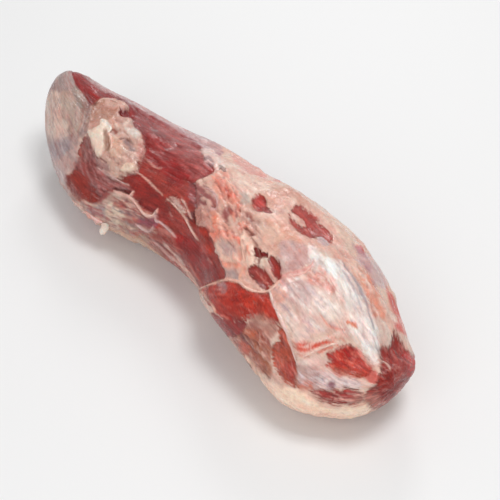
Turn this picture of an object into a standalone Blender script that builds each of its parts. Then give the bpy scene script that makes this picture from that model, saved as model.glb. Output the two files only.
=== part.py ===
"""A whole raw beef eye of round: one long boneless muscle, lying down as it rests.

The muscle lies along X. Its narrow silvery end is at -X, its thick end at +X.
Metres, +Z up. The origin is the middle of the footprint, on the resting plane.

The body is a loft. Each section is an ellipse that is softly flattened underneath.
The relief of fat, flap, tendon and bared lean is then pushed out or in along the
surface. A place on the surface is given as the distance along from the -X end and
the angle around: 0 degrees is the +Y side, 90 the top and 180 the -Y side.
"""
import math

import bmesh
import bpy
import numpy as np
from mathutils import Matrix, Vector

NAME = "eye_of_round"

# Driving sizes
LENGTH = 0.361
# Distance along, half width, half height and sideways place of the middle
STATIONS = (
    (0.000, 0.0360, 0.0490, -0.0040),
    (0.022, 0.0365, 0.0400, -0.0070),
    (0.051, 0.0430, 0.0340, -0.0065),
    (0.094, 0.0485, 0.0330, -0.0050),
    (0.145, 0.0470, 0.0355, 0.0060),
    (0.195, 0.0470, 0.0400, 0.0090),
    (0.246, 0.0520, 0.0430, 0.0045),
    (0.289, 0.0520, 0.0420, -0.0020),
    (0.325, 0.0470, 0.0365, -0.0055),
    (0.347, 0.0460, 0.0340, -0.0045),
    (0.361, 0.0500, 0.0410, -0.0050),
)
NARROW_END_ROUND = 0.088
NARROW_END_POWER = 2.45
THICK_END_ROUND = 0.064
THICK_END_POWER = 2.05

# How the muscle lies: its middle above the plane as a share of the half height,
# the lift of both ends, and how softly the underside turns into the flat
MIDDLE_SHARE = 0.87
END_LIFT = 0.005
NARROW_LIFT_REACH = 0.035
THICK_LIFT_REACH = 0.059
FLAT_SOFTNESS = 0.003

# Mesh fineness: sections along, and points round one section above and below
SECTIONS = 88
UPPER_POINTS = 44
LOWER_POINTS = 12
END_CROWDING = 0.45
UPPER_START = math.radians(-32)
UPPER_TURN = math.radians(252)

# The relief fades out over this height above the resting plane
RELIEF_FADE = 0.016
MEAN_RADIUS = 0.042

# Mounds of fat and folds: distance along, degrees around, reach along, reach across, height
MOUNDS = (
    (0.082, 96, 0.044, 0.031, 0.0062),
    (0.072, 110, 0.017, 0.013, 0.0036),
    (0.059, 68, 0.015, 0.012, 0.0036),
    (0.104, 112, 0.016, 0.014, 0.0028),
    (0.104, 78, 0.017, 0.012, 0.0026),
    (0.148, 82, 0.026, 0.019, 0.0030),
    (0.187, 102, 0.026, 0.018, 0.0036),
    (0.222, 124, 0.022, 0.016, 0.0034),
    (0.213, 52, 0.038, 0.024, 0.0034),
    (0.262, 34, 0.050, 0.024, 0.0034),
    (0.104, 176, 0.034, 0.014, 0.0022),
    (0.150, 168, 0.030, 0.014, 0.0024),
    (0.247, 166, 0.036, 0.026, 0.0040),
    (0.303, 104, 0.034, 0.026, 0.0030),
    (0.322, 194, 0.036, 0.018, 0.0030),
    (0.120, 18, 0.055, 0.022, 0.0034),
    (0.205, 8, 0.048, 0.020, 0.0030),
    (0.290, -2, 0.040, 0.022, 0.0034),
)
# Places where the lean lies bare, a little below the fat around it
HOLLOWS = (
    (0.102, 97, 0.012, 0.010, 0.0044),
    (0.034, 84, 0.026, 0.011, 0.0020),
    (0.090, 152, 0.018, 0.008, 0.0026),
    (0.182, 132, 0.010, 0.008, 0.0034),
    (0.176, 148, 0.040, 0.013, 0.0024),
    (0.210, 86, 0.012, 0.011, 0.0036),
    (0.247, 70, 0.028, 0.013, 0.0034),
    (0.263, 121, 0.015, 0.009, 0.0036),
    (0.266, 111, 0.013, 0.007, 0.0030),
    (0.308, 153, 0.019, 0.014, 0.0042),
    (0.336, 112, 0.028, 0.018, 0.0022),
    (0.350, 50, 0.020, 0.024, 0.0028),
)

# Edge of the flap that covers the thick end: degrees around, distance along
FLAP_EDGE = (
    (70, 0.262),
    (82, 0.264),
    (90, 0.279),
    (100, 0.279),
    (120, 0.272),
    (130, 0.270),
    (140, 0.251),
    (153, 0.235),
    (173, 0.219),
    (202, 0.201),
    (232, 0.196),
)
FLAP_RISE = 0.0038
FLAP_EDGE_WIDTH = 0.015
FLAP_FADE = 0.070
FLAP_SIDE_FADE = math.radians(16)

# White tendon along the top of the thick end: distance along, degrees around
TENDON_LINE = (
    (0.240, 86),
    (0.274, 82),
    (0.302, 75),
    (0.322, 74),
    (0.350, 100),
)
TENDON_HALF_WIDTH = 0.0075
TENDON_RISE = 0.0026
TENDON_FADE = 0.020

# Long shallow furrows between the bundles of the muscle on its far side
FURROW_DEPTH = 0.0009
FURROW_PITCH = 0.0135
FURROW_SLANT = 0.16
FURROW_TOP = math.radians(70)
FURROW_SIDE_FADE = math.radians(30)
FURROW_END_FADE = 0.075

# Scrap of fat that hangs from the -Y edge
TAG_PLACE = (0.107, 205)
TAG_HALF_SIZES = (0.0048, 0.0030, 0.0090)
TAG_LEAN = math.radians(24)
TAG_DROP = 0.0040

MEAT_COLOUR = (0.50, 0.21, 0.17, 1.0)
MEAT_ROUGHNESS = 0.45


def smooth_through(at, known, values):
    """Smooth curve through the given values, by cubic pieces with shared slopes."""
    known = np.asarray(known)
    values = np.asarray(values)
    gaps = np.diff(known)
    rises = np.diff(values) / gaps
    slopes = np.empty_like(values)
    slopes[0] = rises[0]
    slopes[-1] = rises[-1]
    slopes[1:-1] = (rises[:-1] * gaps[1:] + rises[1:] * gaps[:-1]) / (gaps[1:] + gaps[:-1])
    piece = np.clip(np.searchsorted(known, at, side="right") - 1, 0, len(gaps) - 1)
    share = (at - known[piece]) / gaps[piece]
    start = (2 * share ** 3 - 3 * share ** 2 + 1) * values[piece]
    end = (3 * share ** 2 - 2 * share ** 3) * values[piece + 1]
    leave = (share ** 3 - 2 * share ** 2 + share) * gaps[piece] * slopes[piece]
    arrive = (share ** 3 - share ** 2) * gaps[piece] * slopes[piece + 1]
    return start + end + leave + arrive


def ease(value):
    """Smooth step from 0 to 1."""
    value = np.clip(value, 0, 1)
    return value * value * (3 - 2 * value)


def end_round(distance, reach, power):
    """Share of the full section left at a distance from an end."""
    gone = np.clip(1 - distance / reach, 0, 1)
    return np.maximum(1 - gone ** power, 0) ** (1 / power)


def rest_on_plane(height):
    """Heights below the plane become flat, with a soft turn into the flat."""
    turn = (height + FLAT_SOFTNESS) ** 2 / (4 * FLAT_SOFTNESS)
    turned = np.where(height < -FLAT_SOFTNESS, 0.0, turn)
    return np.where(height > FLAT_SOFTNESS, height, turned)


def body_point(along, around):
    """Point of the plain body: an ellipse at each distance along, closed at both ends."""
    known, half_width, half_height, aside = np.array(STATIONS).T
    width = smooth_through(along, known, half_width)
    height = smooth_through(along, known, half_height)
    side = smooth_through(along, known, aside)
    size = (end_round(along, NARROW_END_ROUND, NARROW_END_POWER)
            * end_round(LENGTH - along, THICK_END_ROUND, THICK_END_POWER))
    lift = END_LIFT * (np.clip(1 - along / NARROW_LIFT_REACH, 0, 1) ** 2
                       + np.clip(1 - (LENGTH - along) / THICK_LIFT_REACH, 0, 1) ** 2)
    x = along - LENGTH / 2 + 0 * around
    y = side + width * size * np.cos(around)
    z = rest_on_plane(MIDDLE_SHARE * height + lift + height * size * np.sin(around))
    return np.stack([x, y, z], axis=-1)


def patch(point, place):
    """Round-edged patch on the surface, 1 in its middle and 0 past its reach."""
    along, degrees, reach_along, reach_across = place
    away = point - body_point(np.array(along), np.array(math.radians(degrees)))
    across = np.hypot(away[..., 1], away[..., 2])
    spread = (away[..., 0] / reach_along) ** 2 + (across / reach_across) ** 2
    return np.clip(1 - spread, 0, 1) ** 2


def flap_rise(along, around):
    """Step up behind the flap's edge, dying away towards the thick end and the sides."""
    degrees, edge = np.array(FLAP_EDGE).T
    turned = np.radians(degrees)
    beyond = along - smooth_through(np.clip(around, turned[0], turned[-1]), turned, edge)
    rise = ease(beyond / FLAP_EDGE_WIDTH) * np.exp(-np.clip(beyond, 0, None) / FLAP_FADE)
    sides = (ease((around - turned[0]) / FLAP_SIDE_FADE)
             * ease((turned[-1] - around) / FLAP_SIDE_FADE))
    return FLAP_RISE * rise * sides


def tendon_rise(along, around):
    """Rounded ridge that follows the tendon's line."""
    known, degrees = np.array(TENDON_LINE).T
    line = smooth_through(np.clip(along, known[0], known[-1]), known, np.radians(degrees))
    across = (around - line) * MEAN_RADIUS / TENDON_HALF_WIDTH
    run = ease((along - known[0]) / TENDON_FADE) * ease((known[-1] - along) / TENDON_FADE)
    return TENDON_RISE * np.exp(-across ** 2) * run


def furrows(along, around):
    """Shallow slanting furrows between the muscle's bundles, on the +Y side."""
    across = around * MEAN_RADIUS + along * FURROW_SLANT
    wave = np.cos(2 * math.pi * across / FURROW_PITCH)
    side = ease((FURROW_TOP - around) / FURROW_SIDE_FADE)
    ends = ease(along / FURROW_END_FADE) * ease((LENGTH - along) / FURROW_END_FADE)
    return -FURROW_DEPTH * wave * side * ends


def relief(along, around, point):
    """All that stands proud of the plain body or lies below it, along its normal."""
    push = flap_rise(along, around) + tendon_rise(along, around) + furrows(along, around)
    for *place, height in MOUNDS:
        push = push + height * patch(point, place)
    for *place, depth in HOLLOWS:
        push = push - depth * patch(point, place)
    return push * ease(point[..., 2] / RELIEF_FADE)


def section_angles():
    """Angles round a section, close together above and wider apart underneath."""
    upper = UPPER_START + UPPER_TURN * np.arange(UPPER_POINTS) / UPPER_POINTS
    lower_turn = 2 * math.pi - UPPER_TURN
    lower = UPPER_START + UPPER_TURN + lower_turn * np.arange(LOWER_POINTS) / LOWER_POINTS
    return np.concatenate([upper, lower])


def section_places():
    """Distances along of the sections, closer together towards the ends."""
    even = np.linspace(0, 1, SECTIONS + 1)
    crowded = 0.5 - 0.5 * np.cos(math.pi * even)
    return LENGTH * (END_CROWDING * crowded + (1 - END_CROWDING) * even)


def outward(along, around):
    """Outward directions of the plain body, from its slopes along and around."""
    small = 1e-5
    forward = body_point(along + small, around) - body_point(along - small, around)
    turning = body_point(along, around + small) - body_point(along, around - small)
    normal = np.cross(turning, forward)
    return normal / np.maximum(np.linalg.norm(normal, axis=-1, keepdims=True), 1e-12)


def finished_point(along, around):
    """Point of the body with its relief."""
    point = body_point(along, around)
    return point + outward(along, around) * relief(along, around, point)[..., None]


def make_body(collection):
    """The whole muscle as one closed loft between its two end points."""
    places = section_places()
    angles = section_angles()
    rings = finished_point(places[1:-1, None], angles[None, :])
    count = len(angles)
    ends = body_point(places[[0, -1], None], np.zeros((2, 1)))[:, 0]
    points = np.concatenate([rings.reshape(-1, 3), ends])
    middle = (points.min(axis=0) + points.max(axis=0)) / 2
    points[:, :2] -= middle[:2]
    first, last = len(points) - 2, len(points) - 1
    faces = []
    for ring in range(len(places) - 3):
        for step in range(count):
            after = (step + 1) % count
            low, high = ring * count, (ring + 1) * count
            faces.append((low + step, low + after, high + after, high + step))
    far_ring = (len(places) - 3) * count
    for step in range(count):
        after = (step + 1) % count
        faces.append((first, after, step))
        faces.append((last, far_ring + step, far_ring + after))
    mesh = bpy.data.meshes.new(NAME)
    mesh.from_pydata(points.tolist(), [], faces)
    mesh.shade_smooth()
    body = bpy.data.objects.new(NAME, mesh)
    collection.objects.link(body)
    return body, middle


def make_tag(collection, middle):
    """Small hanging scrap of fat, sunk into the edge that it hangs from."""
    along, degrees = TAG_PLACE
    root = body_point(np.array(along), np.array(math.radians(degrees))) - middle * (1, 1, 0)
    shape = bmesh.new()
    bmesh.ops.create_uvsphere(shape, u_segments=10, v_segments=7, radius=1.0)
    stretch = Matrix.Diagonal(Vector(TAG_HALF_SIZES).to_4d())
    turn = Matrix.Rotation(-TAG_LEAN, 4, "X")
    move = Matrix.Translation(Vector(root) + Vector((0, 0, -TAG_DROP)))
    bmesh.ops.transform(shape, matrix=move @ turn @ stretch, verts=shape.verts)
    mesh = bpy.data.meshes.new("fat_tag")
    shape.to_mesh(mesh)
    shape.free()
    tag = bpy.data.objects.new("fat_tag", mesh)
    tag.hide_render = True
    tag.display_type = "WIRE"
    collection.objects.link(tag)
    return tag


def make_material():
    """Plain moist meat."""
    material = bpy.data.materials.new("raw_beef")
    material.use_nodes = True
    shader = material.node_tree.nodes["Principled BSDF"]
    shader.inputs["Base Color"].default_value = MEAT_COLOUR
    shader.inputs["Roughness"].default_value = MEAT_ROUGHNESS
    shader.inputs["Metallic"].default_value = 0.0
    return material


def main():
    """Build the muscle in a collection of its own, with its helper in another."""
    for old in list(bpy.data.objects):
        bpy.data.objects.remove(old, do_unlink=True)
    parts = bpy.data.collections.new("beef_eye_of_round")
    helpers = bpy.data.collections.new("joined_shapes")
    bpy.context.scene.collection.children.link(parts)
    bpy.context.scene.collection.children.link(helpers)
    body, middle = make_body(parts)
    body.data.materials.append(make_material())
    join = body.modifiers.new("fat_tag", "BOOLEAN")
    join.operation = "UNION"
    join.solver = "EXACT"
    join.object = make_tag(helpers, middle)


main()
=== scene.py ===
"""Looks of a whole raw beef eye of round, laid out as an add-on and run as a script.

The muscle lies along X, its narrow silvery end at -X and its thick end at +X. The fine
surface repeats the solid's own form and adds the low relief of fat, membrane and bared
lean. On the side that shows, the tissue is painted in outlines and lines of the picture,
carried onto the surface through the camera. The far side has outlines of its own.
"""
import math

import bpy
import numpy as np
from mathutils import Matrix


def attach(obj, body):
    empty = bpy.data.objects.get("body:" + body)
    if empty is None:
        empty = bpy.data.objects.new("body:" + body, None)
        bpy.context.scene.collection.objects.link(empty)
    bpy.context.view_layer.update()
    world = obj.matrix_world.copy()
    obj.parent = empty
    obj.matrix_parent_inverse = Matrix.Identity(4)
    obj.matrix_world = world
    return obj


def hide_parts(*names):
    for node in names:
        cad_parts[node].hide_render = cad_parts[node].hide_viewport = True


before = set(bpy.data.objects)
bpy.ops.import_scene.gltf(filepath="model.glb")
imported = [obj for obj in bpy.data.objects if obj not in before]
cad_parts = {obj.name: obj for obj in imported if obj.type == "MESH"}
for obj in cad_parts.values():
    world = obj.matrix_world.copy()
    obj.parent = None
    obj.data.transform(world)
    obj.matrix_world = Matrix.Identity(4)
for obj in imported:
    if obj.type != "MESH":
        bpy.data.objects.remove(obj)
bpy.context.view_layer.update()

bl_info = {
    "name": "Raw beef eye of round",
    "version": (1, 0, 0),
    "blender": (4, 5, 0),
    "location": "3D View > Sidebar > Beef",
    "description": "Builds the surface, fat, membranes and setting of a raw beef eye of round",
    "category": "Object",
}

CAD_NODE = "eye_of_round"
BODY = "root"
MM = 0.001
# Step used to read a slope, and the least that a length or a normal is divided by
SMALL_STEP = 1e-5
TINY = 1e-9
LEAST_NORMAL = 1e-12

# Form of the muscle, as in the solid: distance along, half width, half height, sideways place
LENGTH = 0.361
STATIONS = (
    (0.000, 0.0360, 0.0490, -0.0040),
    (0.022, 0.0365, 0.0400, -0.0070),
    (0.051, 0.0430, 0.0340, -0.0065),
    (0.094, 0.0485, 0.0330, -0.0050),
    (0.145, 0.0470, 0.0355, 0.0060),
    (0.195, 0.0470, 0.0400, 0.0090),
    (0.246, 0.0520, 0.0430, 0.0045),
    (0.289, 0.0520, 0.0420, -0.0020),
    (0.325, 0.0470, 0.0365, -0.0055),
    (0.347, 0.0460, 0.0340, -0.0045),
    (0.361, 0.0500, 0.0410, -0.0050),
)
NARROW_END_ROUND = 0.088
NARROW_END_POWER = 2.45
THICK_END_ROUND = 0.064
THICK_END_POWER = 2.05
MIDDLE_SHARE = 0.87
END_LIFT = 0.005
NARROW_LIFT_REACH = 0.035
THICK_LIFT_REACH = 0.059
FLAT_SOFTNESS = 0.003
RELIEF_FADE = 0.016
MEAN_RADIUS = 0.042

# Mounds of fat and folds: distance along, degrees around, reach along, reach across, height
MOUNDS = (
    (0.082, 96, 0.044, 0.031, 0.0062), (0.072, 110, 0.017, 0.013, 0.0036),
    (0.059, 68, 0.015, 0.012, 0.0036), (0.104, 112, 0.016, 0.014, 0.0028),
    (0.104, 78, 0.017, 0.012, 0.0026), (0.148, 82, 0.026, 0.019, 0.0030),
    (0.187, 102, 0.026, 0.018, 0.0036), (0.222, 124, 0.022, 0.016, 0.0034),
    (0.213, 52, 0.038, 0.024, 0.0034), (0.262, 34, 0.050, 0.024, 0.0034),
    (0.104, 176, 0.034, 0.014, 0.0022), (0.150, 168, 0.030, 0.014, 0.0024),
    (0.247, 166, 0.036, 0.026, 0.0040), (0.303, 104, 0.034, 0.026, 0.0030),
    (0.322, 194, 0.036, 0.018, 0.0030), (0.120, 18, 0.055, 0.022, 0.0034),
    (0.205, 8, 0.048, 0.020, 0.0030), (0.290, -2, 0.040, 0.022, 0.0034),
)
# Places where the lean lies bare, a little below the fat around it
HOLLOWS = (
    (0.102, 97, 0.012, 0.010, 0.0044), (0.034, 84, 0.026, 0.011, 0.0020),
    (0.090, 152, 0.018, 0.008, 0.0026), (0.182, 132, 0.010, 0.008, 0.0034),
    (0.176, 148, 0.040, 0.013, 0.0024), (0.210, 86, 0.012, 0.011, 0.0036),
    (0.247, 70, 0.028, 0.013, 0.0034), (0.263, 121, 0.015, 0.009, 0.0036),
    (0.266, 111, 0.013, 0.007, 0.0030), (0.308, 153, 0.019, 0.014, 0.0042),
    (0.336, 112, 0.028, 0.018, 0.0022), (0.350, 50, 0.020, 0.024, 0.0028),
)
# Edge of the flap that covers the thick end: degrees around, distance along
FLAP_EDGE = (
    (70, 0.262), (82, 0.264), (90, 0.279), (100, 0.279), (120, 0.272), (130, 0.270), (140, 0.251),
    (153, 0.235), (173, 0.219), (202, 0.201), (232, 0.196),
)
FLAP_RISE = 0.0038
FLAP_EDGE_WIDTH = 0.015
FLAP_FADE = 0.070
FLAP_SIDE_FADE = math.radians(16)
# White tendon along the top of the thick end: distance along, degrees around
TENDON_LINE = ((0.240, 86), (0.274, 82), (0.302, 75), (0.322, 74), (0.350, 100))
TENDON_HALF_WIDTH = 0.0075
TENDON_RISE = 0.0026
TENDON_FADE = 0.020
FURROW_DEPTH = 0.0009
FURROW_PITCH = 0.0135
FURROW_SLANT = 0.16
FURROW_TOP = math.radians(70)
FURROW_SIDE_FADE = math.radians(30)
FURROW_END_FADE = 0.075

# Fineness of the surface: rings along, points around above and below
RINGS = 392
UPPER_POINTS = 212
LOWER_POINTS = 30
UPPER_START = math.radians(-32)
UPPER_TURN = math.radians(252)

# Camera: the picture is square, and its lens and aim are those of the photograph
PICTURE = 500
LENS = 113.9
SENSOR = 36.0
CAMERA_AZIMUTH = math.radians(51.74)
CAMERA_ELEVATION = math.radians(45.18)
CAMERA_ROLL = math.radians(0.48)
CAMERA_AIM = (0.0313, 0.0001, 0.0400)
CAMERA_DISTANCE = 1.0496
CLIP_START = 0.05
# How far past the visible edge the picture's outlines fade into the far side's own
FACING_FULL = -0.05
FACING_NONE = -0.38

# Floor and lights: name, place, size and the setting that gives the power
FLOOR_ROUGHNESS = 0.6
LIGHT_AIM = (0.0, 0.0, 0.04)
LIGHTS = (
    ("key_light", (0.30, 0.25, 1.50), 0.55, "key_power"),
    ("back_light", (-0.85, 0.85, 0.80), 0.40, "back_power"),
    ("front_light", (0.45, -1.12, 0.85), 1.0, "front_power"),
)

# Seeds of the noise and of the streaks. Noise across and down a picture differs by SEED_STEP.
SEEDS = {
    "firm wander": 101, "soft wander": 131, "mottle": 171, "streaks": 501,
    "back broad": 11, "back mottle": 23, "back streaks": 701,
    "lumps": 51, "knots": 61, "cords": 71,
    "scrap": 301, "strand width": 401, "strand dip": 431, "strand shade": 451,
}
SEED_STEP = 10
NOISE_CELLS = 32
PROFILE_SAMPLES = 4001

# The signed coverage is held over this many pixels, or over a multiple of a patch's softness
COVER_REACH = 2.6
COVER_SPREAD = 1.7
# Pixels around an outline or a line within which it is painted
MARGIN = 16.0
# Edges in pixels, as how far outside an outline they start and how far they run
RISE_EDGE = (0.8, 2.2)
LINE_EDGE = (0.7, 1.4)
LINE_RISE_EDGE = (1.0, 1.6)
LEAN_SPREAD = 1.5
# Softness of a tissue's edge: its least and most, and how far out its own value reaches
BLUR_RANGE = (0.12, 0.9)
BLUR_LEAD = 1.2
# Width of a painted line: how much it swells to its middle, its share at the ends, its waver
LINE_TAPER = (0.6, 0.4)
LINE_WAVER = (0.28, 11)
# Pull of a guide line on the flow near it: softness and power
GUIDE_SOFTNESS = 3
GUIDE_POWER = 3
# Streaks: spots tried for each, steps to each side, bend, and spread of length, size, shade and opacity
STREAK_TRIES = 8
STREAK_STEPS = 3
STREAK_BEND = 0.22
STREAK_LENGTHS = (0.45, 1.5)
STREAK_SIZES = (0.6, 1.4)
STREAK_SHADES = (0.94, 1.06)
STREAK_OPACITIES = (0.4, 1.0)
# Tissue before any patch, and size on the meat of the mottling that breaks up a patch's edge
PLAIN_FATNESS = 0.6
PLAIN_BLUR = 0.2
MOTTLE_SIZE = 0.0058
DARKEST = 0.008
# White light that the wet film adds to every colour in the picture
SHINE_LIGHT = 0.030
# Size on the meat and reach in pixels of the wander of outlines: firm tissue edges, soft tints
FIRM_WANDER = (0.0048, 0.9)
SOFT_WANDER = (0.0075, 3.4)

# Uneven swellings: size in metres and heights in millimetres, all faded out just above the plane
LUMP_SIZE = 0.009
LUMP_ON_FAT = 0.75
LUMP_ELSEWHERE = 0.25
KNOT_SIZE = 0.0032
KNOT_ON_FAT = 0.22
CORD_SIZE = 0.0045
CORD_ON_LEAN = 0.20
CORD_STRETCH = (0.22, 1.0, 1.0)
PLANE_FADE = 0.006
# Reading the surface under a pixel: least facing, points taken and softness of their weights
FACING_SEEN = 0.02
NEAREST = 5
NEAREST_SOFTNESS = 0.15

# Sizes in metres of the shaders' patterns
EDGE_SIZE = 0.0019
# Size of the patches in which the painted shade at the covering's edge is deeper or fainter
EDGE_SHADE_SIZE = 0.006
FIBRE_SIZE = 0.0013
BUNDLE_SIZE = 0.0042
CLOUD_SIZE = 0.0052
CROSS_SIZE = 0.0012
VEIL_SIZE = 0.0085
FLECK_SIZE = 0.0021
BROAD_SIZE = 0.0095
FINE_SIZE = 0.0034
THREAD_SIZE = 0.0022
VEIN_SIZE = 0.0068
FILM_SIZE = 0.012
SPECKLE_SIZE = 0.0016
# Strengths of the patterns, roughness where damp and wet, and the moist flesh's constant values
RAGGEDNESS = 2.3
VEIL_SHARE = 0.15
VEIN_SHARE = 0.14
VEIN_WIDTH = 0.020
PINKER = (0.97, 0.84, 0.82)
PALER = (1.02, 1.06, 1.06)
COVER_STEP = 0.5
MEAT_ROUGHNESS = (0.42, 0.20)
TRIM_ROUGHNESS = (0.40, 0.22)
TRIM_FILM = 0.30
TRIM_FATNESS = 0.8
TRIM_GRAIN_HEIGHT = 0.0004
FLESH = {
    "Subsurface Weight": 0.22, "Subsurface Radius": (1.0, 0.35, 0.22), "Subsurface Scale": 0.0012,
    "Coat Roughness": 0.12, "Coat IOR": 1.36, "IOR": 1.44,
}


def oval(middle, reach, turn=0.0, count=12):
    """Outline of an oval: its middle, half lengths along and across, and its turn in degrees."""
    around = np.linspace(0, 2 * math.pi, count, endpoint=False)
    run = reach[0] * np.cos(around)
    rise = reach[1] * np.sin(around)
    angle = math.radians(turn)
    across = middle[0] + run * math.cos(angle) - rise * math.sin(angle)
    down = middle[1] + run * math.sin(angle) + rise * math.cos(angle)
    return np.stack([across, down], axis=-1)


# Colours as seen in the picture, in 0 to 255
CREAM = (224, 192, 178)
WHITE_FAT = (232, 218, 205)
TAG_CREAM = (240, 226, 212)
PINK_FAT = (218, 172, 160)
SILVER = (178, 160, 158)
SILVER_COOL = (166, 152, 162)
SILVER_WARM_TONE = (192, 166, 152)
SILVER_GREEN = (152, 148, 138)
LEAN = (156, 72, 67)
LEAN_DEEP = (122, 38, 36)
LEAN_BLACK = (100, 28, 26)
# White of the painted highlights on the wet tendon
PAINTED_HIGHLIGHT = (255, 252, 250)
LILAC = (190, 146, 150)
MAUVE = (170, 104, 106)
BACK_CREAM = (222, 186, 172)
UNDER_CREAM = (222, 190, 174)
VEIL_PINK = (190, 122, 122)
FLECK_PINK = (214, 150, 142)
BLOOD = (190, 104, 98)

# How soft the edge of each tissue is, for each pixel of a patch's softness
BLUR = {"skin": 0.16, "fat": 0.07, "lean": 0.09}

# Guide lines of the fibres and strands, all from the narrow end to the thick one
FLOWS = (
    "60,72 54,100 54,130 62,165 74,198",
    "76,76 92,110 82,140 84,168",
    "78,72 112,91 152,114 190,138 226,160",
    "94,96 132,128 168,152 204,180",
    "88,146 100,170 128,188",
    "128,182 160,204 180,236 206,272",
    "66,192 104,208 142,226 172,252 196,288",
    "98,224 134,238 168,262",
    "232,160 276,182 316,214 348,250 380,290 398,330",
    "212,172 232,200 246,236 252,268",
    "258,192 290,220 326,256 352,294 368,340",
    "204,296 232,296 258,300 278,318",
    "282,276 306,296 334,318 352,332",
    "222,326 244,342 262,368 284,392 330,410 370,404",
    "280,328 286,352 292,384",
    "300,348 330,344 352,356 372,366",
    "304,378 336,382 362,388",
    "376,400 396,388 412,366",
    "388,336 398,356 408,374",
)

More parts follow.
